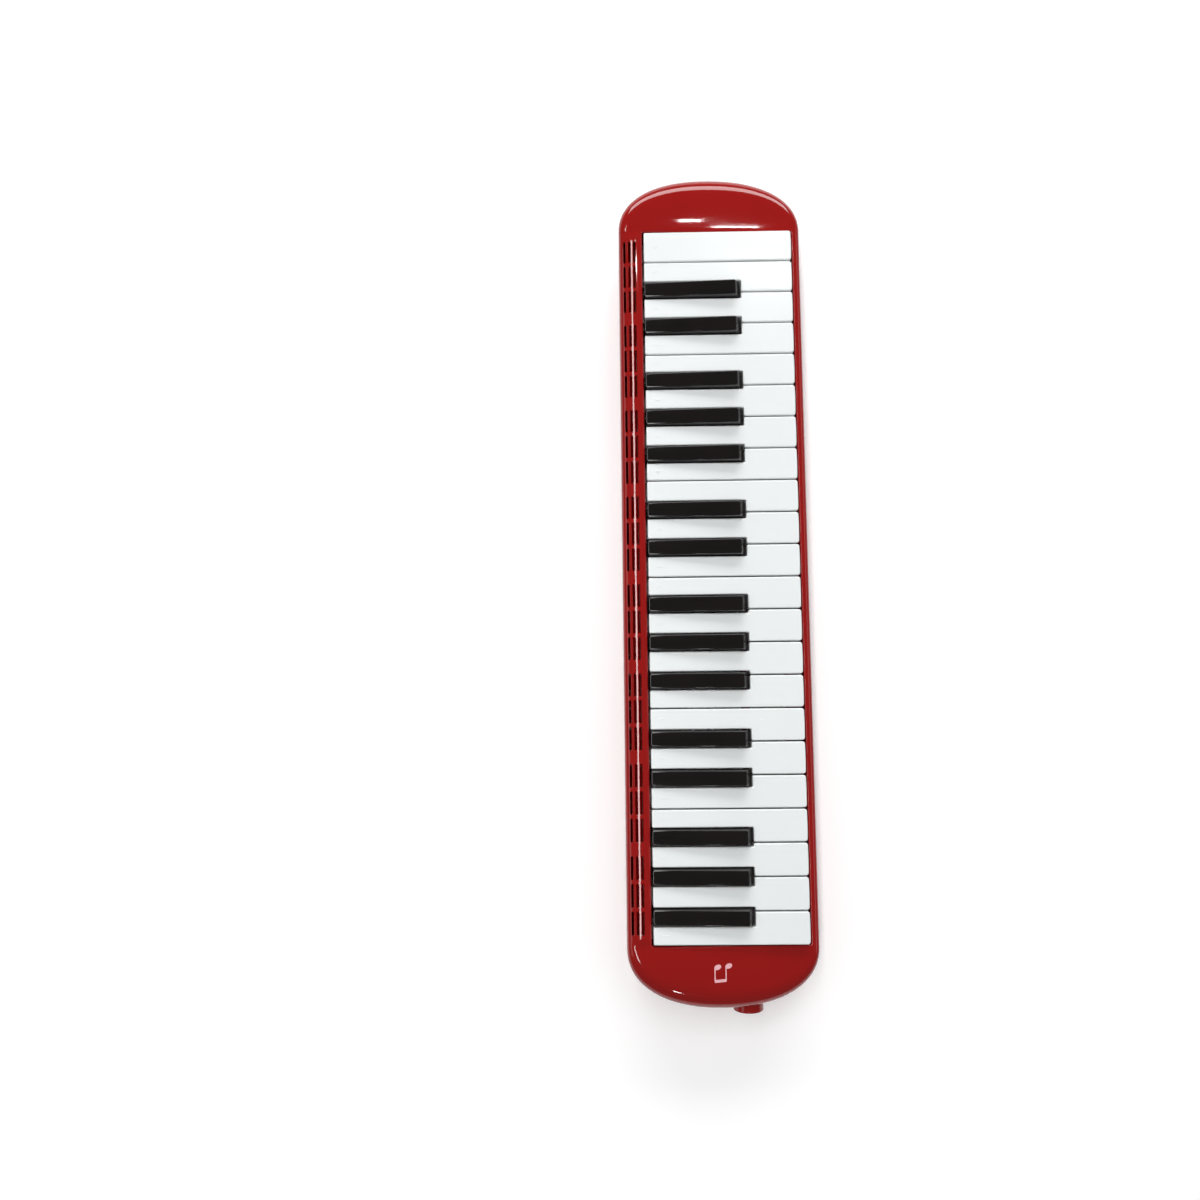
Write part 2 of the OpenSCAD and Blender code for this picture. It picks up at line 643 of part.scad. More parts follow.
module strap_holder(span, mouth) placed([0.6, 0.05, 0.04]) on_slope() difference() {
    box([span[0], -holder_w / 2, -holder_h], [span[1], holder_w / 2, -0.01]);
    box([min(mouth), -strap_w / 2 - 0.1, strap_rest_z - 0.1],
        [max(mouth), strap_w / 2 + 0.1, strap_rest_z + strap_t + 0.1]);
}
module strap_holder_bass() strap_holder(holder_spans[0], [strap_ends[0] - 0.1, holder_spans[0][1] + 1]);
module strap_holder_treble() strap_holder(holder_spans[1], [strap_ends[1] + 0.1, holder_spans[1][0] - 1]);

// ---- assembly --------------------------------------------------------------

for (i = [1:white_count]) white_key(i - 1);
for (k = [1:15]) black_key(k - 1);
upper_case();
lower_case();
key_pivot_rod();
key_spring_comb();
key_rest_felt();
chamber_body();
chamber_gasket();
chamber_cover();
chamber_cover_screws();
reed_plate_bass();
reed_plate_treble();
reeds();
reed_plate_screws();
mouthpiece_socket();
socket_seal_ring();
drain_button();
drain_valve_seal();
drain_spring();
hand_strap();
strap_holder_bass();
strap_holder_treble();
case_screws();
chamber_screws();
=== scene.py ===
"""Finishes a 37-key melodica around its packed CAD frame.

The moulded case halves, the keys, the socket, the water release, the screws and the hand strap are
surfaces worked out with numpy, in millimetres about the middle of the case, and put into meshes in metres.
The pieces inside the case are the CAD nodes themselves, with procedural finishes.
"""

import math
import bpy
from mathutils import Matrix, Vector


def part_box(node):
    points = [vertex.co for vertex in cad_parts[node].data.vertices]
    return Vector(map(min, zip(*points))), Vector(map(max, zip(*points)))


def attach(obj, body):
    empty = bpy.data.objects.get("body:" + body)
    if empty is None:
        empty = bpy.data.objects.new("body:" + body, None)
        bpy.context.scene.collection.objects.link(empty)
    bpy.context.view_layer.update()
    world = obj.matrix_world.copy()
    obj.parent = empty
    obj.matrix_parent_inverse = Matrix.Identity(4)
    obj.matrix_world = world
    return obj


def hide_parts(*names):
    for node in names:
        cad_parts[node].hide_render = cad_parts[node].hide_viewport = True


bl_info = {
    "name": "Melodica finish",
    "version": (1, 0, 0),
    "blender": (4, 5, 0),
    "location": "View3D > Sidebar > Melodica",
    "description": "Case, keys, socket, strap and screws of a 37-key melodica, and a small studio",
    "category": "Add Mesh",
}

import bmesh
import bpy
import numpy as np
from bpy.props import FloatProperty, FloatVectorProperty, PointerProperty
from mathutils import Matrix

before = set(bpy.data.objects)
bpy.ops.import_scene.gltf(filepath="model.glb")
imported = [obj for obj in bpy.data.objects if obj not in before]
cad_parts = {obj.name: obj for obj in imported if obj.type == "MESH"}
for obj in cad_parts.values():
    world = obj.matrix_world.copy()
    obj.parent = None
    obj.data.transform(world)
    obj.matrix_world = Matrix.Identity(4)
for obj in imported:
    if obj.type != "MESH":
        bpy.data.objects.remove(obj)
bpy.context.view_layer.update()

MM = 0.001


def span(node):
    """Lowest and highest corner of a CAD node, in millimetres."""
    return tuple(np.array(corner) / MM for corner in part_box(node))


# ---- places and sizes that the frame gives, in millimetres about the middle of the case ----

CASE_LOW, CASE_HIGH = span("upper_case")
CASE_X = (CASE_LOW[0] + CASE_HIGH[0]) / 2
HALF_L = (CASE_HIGH[0] - CASE_LOW[0]) / 2
HALF_W = (CASE_HIGH[1] - CASE_LOW[1]) / 2
SEAM_Z = CASE_LOW[2]
WHITES = sorted(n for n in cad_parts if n.startswith("white_key_"))
BLACKS = sorted(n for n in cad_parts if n.startswith("black_key_"))
KEY_LOW, KEY_HIGH = span(WHITES[0])
KEY_FRONT_Y, KEY_Z = KEY_LOW[1], KEY_HIGH[2]
KEYS_HALF = (span(WHITES[-1])[1][0] - KEY_LOW[0]) / 2
BLACK_LOW, BLACK_HIGH = span(BLACKS[0])
BLACK_FRONT_Y, BLACK_TOP_Z = BLACK_LOW[1], BLACK_HIGH[2]
ROD_LOW, ROD_HIGH = span("key_pivot_rod")
PIVOT_Y, PIVOT_Z = (ROD_LOW[1] + ROD_HIGH[1]) / 2, (ROD_LOW[2] + ROD_HIGH[2]) / 2
ROD_R = (ROD_HIGH[2] - ROD_LOW[2]) / 2
DRAIN_LOW, DRAIN_HIGH = span("drain_button")
SOCKET_LOW, SOCKET_HIGH = span("mouthpiece_socket")

# Plan of the case: straight sides and superellipse ends
END_DEPTH = 34
END_POWER = 2.2
SIDE_STEPS = 132
CORNER_STEPS = 8
END_STEPS = 56
WALL = 2
SEAM = 0.35
DRAFT = 0.3
END_BLEND = 0.8
PATCH_HALF = (198, 36)

# Opening for the keys
OPENING_X = KEYS_HALF + 1.0
OPENING_FRONT_Y = -48.6
OPENING_REAR_Y = 39.7
OPENING_CORNER = 1.3
SKIRT = 1.6
SKIRT_Z = 32
REAR_LIP_Z = 36.2
RIDGE_Y, RIDGE_HALF = 44.6, 7.2
CAP_CREST_X, CAP_FALL = 212, 0.0022

# Keys
KEY_REAR_Y = 38.7
NOTCH_Y = -17.7
SIDE_CLEAR = 0.7
KEY_WALL = 1.2
KEY_SKIN = 2.2
FRONT_SKIRT_Z = 29
REAR_SKIRT_Z = 33
PAD_W, PAD_L, PAD_Y = 8.2, 9, 39
CARRIER_Z, CARRIER_T = 25.6, 1.4
WHITE_LEVER_Z, BLACK_LEVER_Z = 26.2, 27
LEVER_W, LEVER_FRONT_Y = 3, -12
DIGIT_INSET = 8.2
DECK_Z = 23.5

# Underside of the case: flat, then a slope, then a steeper rear
UNDER_Z = 8.5
CREASE_Y = 15
REAR_CREASE_Y = 44.6
UNDER_SLOPE = 6.5 / 29.6
REAR_SLOPE = 0.33
SLOPE_ANGLE = math.atan(UNDER_SLOPE)

# Screws, feet, slots and grille
WELL_SCREWS = [(218, -34), (-218, -34)]
REAR_SCREWS = [(216.5, 31), (-217, 31)]
CHAMBER_SCREWS = [(204, -25), (58, -25), (-72.5, -24.5), (-204, -25.5)]
FEET = [(184, -33.5), (-174.5, -32), (184, 31.7), (-175.5, 35)]
SOUND_SLOTS = [x + 11.9 * i for x, count in
               [(-197, 1), (-162.1, 7), (-23.5, 1), (23.9, 4), (128.2, 4), (200, 1)] for i in range(count)]
SLOT_Y, SLOT_W, SLOT_FLARE, SLOT_TOP_Z = (27.5, 43.5), 2.0, 0.25, 22
GRILLE_X = [(group - 3.5) * 50.72 + cell * 15.05 for group in range(8) for cell in (-1, 0, 1)]
GRILLE_Y = [44.3, 47.2, 50.1]
GRILLE_CELL = (12.9, 1.35)
UNDER_STRIP_Z = 30
FOOT_TIP_R, FOOT_BASE_R, FOOT_DOME, FOOT_FLARE = 3.3, 4.6, 1.3, (2.9, 2.0)
DRAIN = ((DRAIN_LOW[0] + DRAIN_HIGH[0]) / 2 - CASE_X, (DRAIN_LOW[1] + DRAIN_HIGH[1]) / 2)
SOCKET = ((SOCKET_LOW[1] + SOCKET_HIGH[1]) / 2, (SOCKET_LOW[2] + SOCKET_HIGH[2]) / 2)
SOCKET_R, NECK_R, SOCKET_FIT = 8.5, 7, 0.06
EYE_X, EYE_BAR_X, EYE_Y = (-226.2, -204.7), (-220.8, -213.8), (0, 6.5)
EYE_DEPTH, EYE_BAR_T = 5, 2

# Each screw: lowest point of its head, radius of its thread, radius and thickness of its head, length
WELL_SCREW = (17.4, 1.5, 2.4, 1.6, 11)
REAR_SCREW = (13.4, 1.5, 3, 2, 15)
CHAMBER_SCREW = (9.1, 1.2, 3, 1.6, 9.5)
THREAD_PITCH = 1.0
PILOT_R, PILOT_Z = 1.55, 24
BOSS_R = 4.2

# Hand strap, in the frame of the slope: x along the case, y across the strap, z out of the case
STRAP_Y = 32.3
STRAP_ENDS = (-62, 100)
STRAP_REST = 3.1
HOLDERS = {"bass": (-78.5, -44.5), "treble": (83.2, 116.6)}
HOLDER_W, HOLDER_H = 17.6, 4.4


# ---- surfaces ------------------------------------------------------------------------------

def unit(vectors):
    """Vectors divided by their own lengths."""
    return vectors / np.linalg.norm(vectors, axis=-1, keepdims=True)


def smooth(value, low, high):
    """0 below low, 1 above high, and 3t^2 - 2t^3 between them."""
    t = np.clip((value - low) / (high - low), 0, 1)
    return t * t * (3 - 2 * t)


def lift(outline, z):
    """Outline points in the plane, given a height each."""
    return np.column_stack([outline, np.broadcast_to(z, len(outline))])


def loft(rings, joined=False):
    """Closed shell through equal rings: quads join neighbouring rings, and the last ring joins the first
    when joined; otherwise one flat face closes each end. Anticlockwise rings that rise face outwards."""
    rings = np.asarray(rings, float)
    rows, columns = rings.shape[:2]
    row = np.arange(rows if joined else rows - 1)[:, None]
    column = np.arange(columns)[None, :]
    above, beside = (row + 1) % rows, (column + 1) % columns
    quads = np.stack(np.broadcast_arrays(
        row * columns + column, row * columns + beside,
        above * columns + beside, above * columns + column), -1)
    faces = [quads.reshape(-1, 4)]
    if not joined:
        faces += [np.arange(columns)[None, ::-1], (rows - 1) * columns + np.arange(columns)[None, :]]
    return rings.reshape(-1, 3), faces


def rounded(corners, radii, inset=0.0, steps=6):
    """Outline of a polygon with arcs for corners, moved inwards by inset. An arc's centre lies on the
    corner's bisector at radius / sin(half the corner's angle); inset shrinks outer corners and grows
    inner ones."""
    corners = np.asarray(corners, float)
    back = unit(np.roll(corners, 1, 0) - corners)
    ahead = unit(np.roll(corners, -1, 0) - corners)
    bisector = unit(back + ahead)
    half = np.arccos(np.clip((back * ahead).sum(1), -1, 1)) / 2
    outer = np.where(back[:, 0] * ahead[:, 1] - back[:, 1] * ahead[:, 0] < 0, 1.0, -1.0)
    radius = np.maximum(np.broadcast_to(radii, len(corners)) - outer * inset, 0.12)
    centre = corners + bisector * ((outer * inset + radius) / np.sin(half))[:, None]
    first = -bisector
    spread = (np.pi / 2 - half) * outer
    angle = np.arctan2(first[:, 1], first[:, 0])[:, None] + spread[:, None] * np.linspace(-1, 1, steps + 1)
    arcs = centre[:, None] + radius[:, None, None] * np.stack([np.cos(angle), np.sin(angle)], -1)
    return arcs.reshape(-1, 2)


def rectangle(x0, x1, y0, y1):
    """Corners of a rectangle, anticlockwise."""
    return [(x0, y0), (x1, y0), (x1, y1), (x0, y1)]


def turned(profile, centre, steps=48, axis="z", joined=False):
    """Shell of revolution: each (radius, height) of the profile becomes a circle about the axis."""
    profile = np.asarray(profile, float)
    angle = np.linspace(0, 2 * np.pi, steps, endpoint=False)
    circle = np.stack([np.cos(angle), np.sin(angle)], -1)
    rings = np.empty((len(profile), steps, 3))
    rings[..., :2] = profile[:, :1, None] * circle
    rings[..., 2] = profile[:, 1:]
    if axis == "x":
        rings = rings[..., [2, 0, 1]]
    return loft(rings + np.asarray(centre, float), joined)


def fillet(radius, steps=5):
    """(inset, drop) pairs of a quarter round, from the side wall up to the top face."""
    angle = np.linspace(0, np.pi / 2, steps + 1)
    return np.column_stack([radius * (1 - np.cos(angle)), radius * (1 - np.sin(angle))])


# ---- from surfaces to objects --------------------------------------------------------------

def new_object(name, *shells):
    """An object whose mesh holds closed shells of (points in millimetres, lists of equal faces)."""
    points, corners, sizes, start = [], [], [], 0
    for shell_points, shell_faces in shells:
        points.append(shell_points)
        corners += [faces.ravel() + start for faces in shell_faces]
        sizes += [np.full(len(faces), faces.shape[1]) for faces in shell_faces]
        start += len(shell_points)
    points = (np.concatenate(points) + (CASE_X, 0, 0)) * MM
    corners, sizes = np.concatenate(corners), np.concatenate(sizes)
    mesh = bpy.data.meshes.new(name)
    mesh.vertices.add(len(points))
    mesh.vertices.foreach_set("co", points.ravel())
    mesh.loops.add(len(corners))
    mesh.loops.foreach_set("vertex_index", corners.astype(np.int32))
    mesh.polygons.add(len(sizes))
    mesh.polygons.foreach_set("loop_start", (np.cumsum(sizes) - sizes).astype(np.int32))
    mesh.update(calc_edges=True)
    mesh.validate()
    piece = bpy.data.objects.new(name, mesh)
    bpy.context.scene.collection.objects.link(piece)
    return piece


def weld(mesh):
    """Joins points that lie on one another."""
    shape = bmesh.new()
    shape.from_mesh(mesh)
    bmesh.ops.remove_doubles(shape, verts=shape.verts, dist=2e-7)
    shape.to_mesh(mesh)
    shape.free()


def combine(piece, tool, operation="DIFFERENCE"):
    """Cuts the tool out of a piece, or joins it to the piece, and removes the tool."""
    modifier = piece.modifiers.new("tool", "BOOLEAN")
    modifier.operation = operation
    modifier.solver = "EXACT"
    modifier.object = tool
    bpy.context.view_layer.update()
    result = bpy.data.meshes.new_from_object(piece.evaluated_get(bpy.context.evaluated_depsgraph_get()))
    piece.modifiers.clear()
    old, tool_mesh = piece.data, tool.data
    piece.data = result
    bpy.data.objects.remove(tool)
    bpy.data.meshes.remove(old)
    bpy.data.meshes.remove(tool_mesh)
    return piece


def dress(piece, finish, body, replaced=(), crease=32):
    """Gives a piece its finish, its slot, the body it rides on and the CAD nodes it stands for. Edges
    sharper than crease degrees stay sharp."""
    mesh = piece.data
    mesh.materials.clear()
    mesh.materials.append(finish)
    mesh.polygons.foreach_set("material_index", np.zeros(len(mesh.polygons), np.int32))
    mesh.shade_smooth()
    mesh.set_sharp_from_angle(angle=math.radians(crease))
    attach(piece, body)
    if replaced:
        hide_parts(*replaced)
    return piece


# ---- finishes ------------------------------------------------------------------------------

class Finish:
    """A procedural material under construction: a Principled shader and helpers that wire nodes to it."""

    def __init__(self, name, colour, roughness, **sockets):
        self.material = bpy.data.materials.new(name)
        self.material.use_nodes = True
        self.tree = self.material.node_tree
        self.shader = self.tree.nodes["Principled BSDF"]
        self.shader.inputs["Base Color"].default_value = (*colour, 1)
        self.shader.inputs["Roughness"].default_value = roughness
        for socket, value in sockets.items():
            self.shader.inputs[socket.replace("_", " ")].default_value = value
        self.place = self.add("ShaderNodeTexCoord").outputs["Object"]

    def add(self, kind, **settings):
        """A node with some of its settings and input values."""
        node = self.tree.nodes.new(kind)
        for key, value in settings.items():
            if key in node.inputs:
                node.inputs[key].default_value = value
            else:
                setattr(node, key, value)
        return node

    def join(self, source, target):
        self.tree.links.new(source, target)

    def noise(self, scale, detail=3.0, stretch=(1, 1, 1)):
        """Noise over Object coordinates, finer by scale and stretched along each axis."""
        mapping = self.add("ShaderNodeMapping")
        mapping.inputs["Scale"].default_value = stretch
        self.join(self.place, mapping.inputs["Vector"])
        node = self.add("ShaderNodeTexNoise", Scale=scale, Detail=detail)
        self.join(mapping.outputs["Vector"], node.inputs["Vector"])
        return node.outputs["Fac"]

    def ramp(self, source, low, high, start=0.35, end=0.65):
        """Source mapped between two numbers or two colours."""
        node = self.add("ShaderNodeValToRGB")
        for element, position, value in zip(node.color_ramp.elements, (start, end), (low, high)):
            element.position = position
            element.color = (*value, 1) if np.ndim(value) else (value, value, value, 1)
        self.join(source, node.inputs["Fac"])
        return node.outputs["Color"]

    def tint(self, source, low, high, start=0.35, end=0.65):
        """Base colour that wanders between two colours."""
        self.join(self.ramp(source, low, high, start, end), self.shader.inputs["Base Color"])
        return self

    def gloss(self, source, low, high, start=0.35, end=0.65):
        """Roughness that wanders between two values."""
        self.join(self.ramp(source, low, high, start, end), self.shader.inputs["Roughness"])
        return self

    def bump(self, source, distance, strength=1.0):
        """Surface relief of a height in metres; a second call adds to the first."""
        node = self.add("ShaderNodeBump", Distance=distance, Strength=strength)
        self.join(source, node.inputs["Height"])
        before = self.shader.inputs["Normal"].links
        if before:
            self.join(before[0].from_socket, node.inputs["Normal"])
        self.join(node.outputs["Normal"], self.shader.inputs["Normal"])
        return self


FINISHES = {}


def finish(name):
    """The named finish, made the first time that a piece asks for it."""
    if name not in FINISHES:
        FINISHES[name] = MAKERS[name](bpy.context.scene.melodica_colours).material
    return FINISHES[name]


def red_shell(colours):
    """Glossy moulded plastic: slow colour drift, faint orange peel and a few duller, handled patches."""
    red = np.array(colours.red)
    made = Finish("red_shell", red, 0.05, IOR=1.48)
    made.tint(made.noise(14, 2), red * 0.93, red * 1.05, 0.3, 0.7)
    made.gloss(made.noise(38, 4), 0.035, 0.07, 0.4, 0.75)
    return made.bump(made.noise(420, 2), 0.000004, 0.2)


def white_plastic(colours):
    white = np.array(colours.white)
    made = Finish("white_plastic", white, 0.22, IOR=1.49, Subsurface_Weight=0.04)
    made.shader.inputs["Subsurface Radius"].default_value = (0.002, 0.002, 0.002)
    made.tint(made.noise(30, 3), white * 0.985, white, 0.35, 0.7)
    made.gloss(made.noise(120, 4, (1, 0.3, 1)), 0.18, 0.3, 0.4, 0.8)
    return made.bump(made.noise(900, 2), 0.00001, 0.2)


def black_plastic(colours):
    black = np.array(colours.black)
    made = Finish("black_plastic", black, 0.06, IOR=1.45)
    made.tint(made.noise(40, 3), black * 0.8, black * 1.3)
    made.gloss(made.noise(90, 4, (1, 0.25, 1)), 0.04, 0.08, 0.4, 0.8)
    return made.bump(made.noise(300, 2), 0.000005, 0.2)


def steel(colours):
    made = Finish("steel", (0.62, 0.62, 0.63), 0.26, Metallic=1.0)
    made.gloss(made.noise(500, 3, (0.06, 1, 1)), 0.18, 0.36)
    made.tint(made.noise(60, 3), (0.54, 0.54, 0.55), (0.68, 0.68, 0.69))
    return made.bump(made.noise(1600, 2, (0.05, 1, 1)), 0.00001, 0.25)


def screw_steel(colours):
    made = Finish("screw_steel", (0.72, 0.71, 0.68), 0.2, Metallic=1.0)
    made.gloss(made.noise(900, 3), 0.14, 0.34)
    made.tint(made.noise(300, 3), (0.6, 0.59, 0.57), (0.8, 0.79, 0.77))
    return made.bump(made.noise(2400, 2), 0.00001, 0.3)


def brass(colours):
    made = Finish("brass", (0.78, 0.56, 0.22), 0.28, Metallic=1.0)
    made.tint(made.noise(50, 4), (0.66, 0.45, 0.16), (0.82, 0.61, 0.27))
    made.gloss(made.noise(300, 3, (1, 0.1, 1)), 0.2, 0.42)
    return made.bump(made.noise(1500, 2, (1, 0.06, 1)), 0.00001, 0.3)


def chamber_plastic(colours):
    grey = (0.72, 0.73, 0.71)
    made = Finish("chamber_plastic", grey, 0.4)
    made.tint(made.noise(25, 3), (0.68, 0.69, 0.67), (0.76, 0.77, 0.75))
    made.gloss(made.noise(150, 3), 0.34, 0.5)
    return made.bump(made.noise(800, 2), 0.00002, 0.3)


def seal_rubber(colours):
    made = Finish("seal_rubber", (0.05, 0.048, 0.045), 0.65)
    made.tint(made.noise(80, 4), (0.035, 0.034, 0.032), (0.075, 0.072, 0.068))
    made.gloss(made.noise(400, 3), 0.55, 0.8)
    return made.bump(made.noise(1800, 3), 0.00004, 0.5)


def felt(colours):
    made = Finish("felt", (0.3, 0.03, 0.04), 0.95, Sheen_Weight=0.5, Sheen_Roughness=0.6)
    made.tint(made.noise(500, 5), (0.2, 0.015, 0.02), (0.42, 0.06, 0.07))
    return made.bump(made.noise(1500, 6), 0.0003, 0.8)


def printed_mark(colours):
    pink = np.array(colours.print_ink)
    made = Finish("printed_mark", pink, 0.35)
    made.tint(made.noise(600, 3), pink * 0.92, pink, 0.3, 0.6)
    return made.bump(made.noise(2500, 2), 0.00001, 0.3)


def strap_webbing(colours):
    """Plain-woven tape: two sets of ridges cross over the piece's own UV map, in turn above and below."""
    white = np.array(colours.strap)
    made = Finish("strap_webbing", white, 0.75, Sheen_Weight=0.35, Sheen_Roughness=0.5)
    uv = made.add("ShaderNodeUVMap", uv_map="weave").outputs["UV"]
    heights = []
    for direction, scale in (("X", 11.0), ("Y", 55.0)):
        wave = made.add("ShaderNodeTexWave", wave_type="BANDS", bands_direction=direction, Scale=scale)
        made.join(uv, wave.inputs["Vector"])
        heights.append(wave.outputs["Fac"])
    check = made.add("ShaderNodeTexChecker", Scale=70.0, Color1=(1, 1, 1, 1), Color2=(0, 0, 0, 1))
    made.join(uv, check.inputs["Vector"])
    mix = made.add("ShaderNodeMix", data_type="FLOAT")
    made.join(check.outputs["Fac"], mix.inputs[0])
    made.join(heights[0], mix.inputs[2])
    made.join(heights[1], mix.inputs[3])
    weave = mix.outputs[0]
    # painted shade: the colour darkens where the weave lies low, in the hollows between the threads
    made.tint(weave, white * 0.86, white, 0.1, 0.7)
    made.bump(made.noise(3000, 3), 0.00004, 0.4)
    return made.bump(weave, 0.00015, 0.7)


MAKERS = {maker.__name__: maker for maker in (
    red_shell, white_plastic, black_plastic, steel, screw_steel, brass, chamber_plastic, seal_rubber, felt,
    printed_mark, strap_webbing)}


# ---- case ----------------------------------------------------------------------------------

def ring_shares():
    """How the rings of the case are sampled: shares of a straight side, closer near its ends, and angles
    from -90 to 90 degrees over one end of the case."""
    t = np.arange(SIDE_STEPS) / SIDE_STEPS
    side = t - 0.6 * np.sin(2 * np.pi * t) / (2 * np.pi)
    angle = np.pi * (np.arange(END_STEPS + 2 * CORNER_STEPS) / (END_STEPS + 2 * CORNER_STEPS) - 0.5)
    return side, angle


def power(value, exponent):
    """A power that keeps the sign."""
    return np.sign(value) * np.abs(value) ** exponent


def case_ring(inset):
    """Plan outline of the case: straight sides at y = +-W, and ends where x grows by D |cos a|^(2/n) and
    y is W |sin a|^(2/n). Inset may differ from point to point."""
    side, angle = ring_shares()
    inset = np.broadcast_to(inset, 2 * (len(side) + len(angle)))
    parts = np.split(inset, np.cumsum([len(side), len(angle), len(side)]))
    straight = HALF_L - END_DEPTH
    run = -straight + 2 * straight * side
    reach, across = np.abs(np.cos(angle)) ** (2 / END_POWER), power(np.sin(angle), 2 / END_POWER)
    return np.concatenate([
        np.column_stack([run, parts[0] - HALF_W]),
        np.column_stack([straight + (END_DEPTH - parts[1]) * reach, (HALF_W - parts[1]) * across]),
        np.column_stack([-run, HALF_W - parts[2]]),
        np.column_stack([-straight - (END_DEPTH - parts[3]) * reach, -(HALF_W - parts[3]) * across])])


def opening_ring(grow):
    """Edge of the key opening, grown outwards: a rectangle with small round corners, sampled like the
    outline of the case so that the two can be joined."""
    side, angle = ring_shares()
    r = OPENING_CORNER
    turn = np.linspace(-np.pi / 2, 0, CORNER_STEPS, endpoint=False)
    share = (np.sin(angle[CORNER_STEPS:len(angle) - CORNER_STEPS]) + 1) / 2
    share = (share - share[0]) / (share[-1] - share[0])
    run = (OPENING_X - r) * (2 * side - 1)
    low, high = OPENING_FRONT_Y + r, OPENING_REAR_Y - r
    rise = np.concatenate([low + (r + grow) * np.sin(turn), low + (high - low) * share,
                           high - (r + grow) * np.sin(turn[::-1])])
    out = np.concatenate([OPENING_X - r + (r + grow) * np.cos(turn), np.full(len(share), OPENING_X + grow),
                          OPENING_X - r + (r + grow) * np.cos(turn[::-1])])
    return np.concatenate([
        np.column_stack([run, np.full(len(run), OPENING_FRONT_Y - grow)]), np.column_stack([out, rise]),
        np.column_stack([-run, np.full(len(run), OPENING_REAR_Y + grow)]),
        np.column_stack([-out, rise[::-1]])])


def around(front, rear, end, power_of_end=1.0):
    """A value for each ring point: one along the front, one along the rear, a third at the tip of each
    end, blended by the angle."""
    side, angle = ring_shares()
    back = smooth(np.sin(angle), -1, 1)
    tip = np.abs(np.cos(angle)) ** power_of_end
    ends = (front + (rear - front) * back) * (1 - tip) + end * tip
    return np.concatenate([np.full(len(side), front), ends, np.full(len(side), rear), ends[::-1]])


def crown(points, case):
    """Height of the top of the case: a ramp from the front rim up to the grille, a raised cos^2 ridge
    along the grille, and end caps that fall gently away from a crest near the keys."""
    x, y = np.abs(points[:, 0]), points[:, 1]
    rim, strip = case.rim_height / MM, case.strip_height / MM
    ramp = rim + (strip - rim) * np.clip((y + HALF_W) / (OPENING_REAR_Y + HALF_W), 0, 1)
    ridge = np.cos(np.pi / 2 * np.clip((y - RIDGE_Y) / RIDGE_HALF, -1, 1)) ** 2
    ridge = ridge * (case.ridge_height / MM) * (1 - smooth(x, 200.5, 206.5))
    cap = CAP_FALL * (x - CAP_CREST_X) ** 2 * smooth(x, 200, 208)
    return ramp + ridge - cap


def upper_rings(case):
    """Rings of the upper case, from the inside of the parting line out, up the wall, over the fillet and
    the top, down into the key opening, and back along the inner faces."""
    width = around(3.3, 4.6, 13, END_BLEND)
    height = around(3.3, 4.6, 9, END_BLEND)
    edge = 0.7
    exponent = 2 / 2.3

    def over(outline, drop=0.0):
        return lift(outline, crown(outline, case) - drop)

    rings = [lift(case_ring(WALL), SEAM_Z), lift(case_ring(SEAM), SEAM_Z),
             lift(case_ring(0.1), SEAM_Z + 0.1), lift(case_ring(0), SEAM_Z + SEAM),
             lift(case_ring(0.02), SEAM_Z + 2 * SEAM)]
    foot = over(case_ring(DRAFT), height)
    rings += [foot - (0, 0, 0.2)]
    for angle in np.radians(np.linspace(0, 90, 13)):
        inset = DRAFT + width * (1 - np.cos(angle) ** exponent)
        rings.append(over(case_ring(inset), height * (1 - np.sin(angle) ** exponent)))
    brink, shoulder = opening_ring(edge), case_ring(DRAFT + width)
    rings += [over(shoulder + (brink - shoulder) * s) for s in np.linspace(0, 1, 12)[1:]]
    for inset, drop in fillet(edge, 4)[::-1][1:]:
        rings.append(over(opening_ring(inset), drop))
    lip = np.where(opening_ring(0)[:, 1] > OPENING_REAR_Y - 0.5, REAR_LIP_Z, SKIRT_Z)
    rings += [lift(opening_ring(0), lip + 0.15), lift(opening_ring(0.15), lip)]
    rings += [lift(opening_ring(SKIRT), lip), over(opening_ring(SKIRT), WALL)]
    inner = np.maximum(DRAFT + width, WALL + DRAFT + 0.3)
    ceiling, hem = case_ring(inner), opening_ring(SKIRT)
    rings += [over(hem + (ceiling - hem) * s, WALL) for s in (0.35, 0.7, 1)]
    for angle in np.radians((60, 30, 0)):
        inset = WALL + DRAFT + (inner - WALL - DRAFT) * (1 - np.cos(angle))
        rings.append(over(case_ring(inset), WALL + np.maximum(height - WALL, 0.3) * (1 - np.sin(angle))))
    return np.array(rings)


def stadium(x, y, length, width, steps=8):
    """Outline of a slot with round ends, its length along x."""
    half = (length - width) / 2
    right = np.linspace(-np.pi / 2, np.pi / 2, steps + 1)
    angle = np.concatenate([right, right + np.pi])
    centre = np.concatenate([np.full(steps + 1, x + half), np.full(steps + 1, x - half)])
    return np.column_stack([centre + width / 2 * np.cos(angle), y + width / 2 * np.sin(angle)])


def grille_cutter(x, y, case):
    """A slot of the grille, flared where it meets the curved top."""
    length, width = GRILLE_CELL
    flare = case.slot_flare / MM
    mouth, neck = stadium(x, y, length + 2 * flare, width + 2 * flare), stadium(x, y, length, width)
    top = crown(mouth, case)
    return loft([lift(neck, UNDER_STRIP_Z), lift(neck, crown(neck, case) - 1.1 * flare), lift(mouth, top),
                 lift(mouth, top + 3)])


def boss(place, radius, low, high):
    """An upright peg."""
    return turned([(radius, low), (radius, high)], (*place, 0), 32)


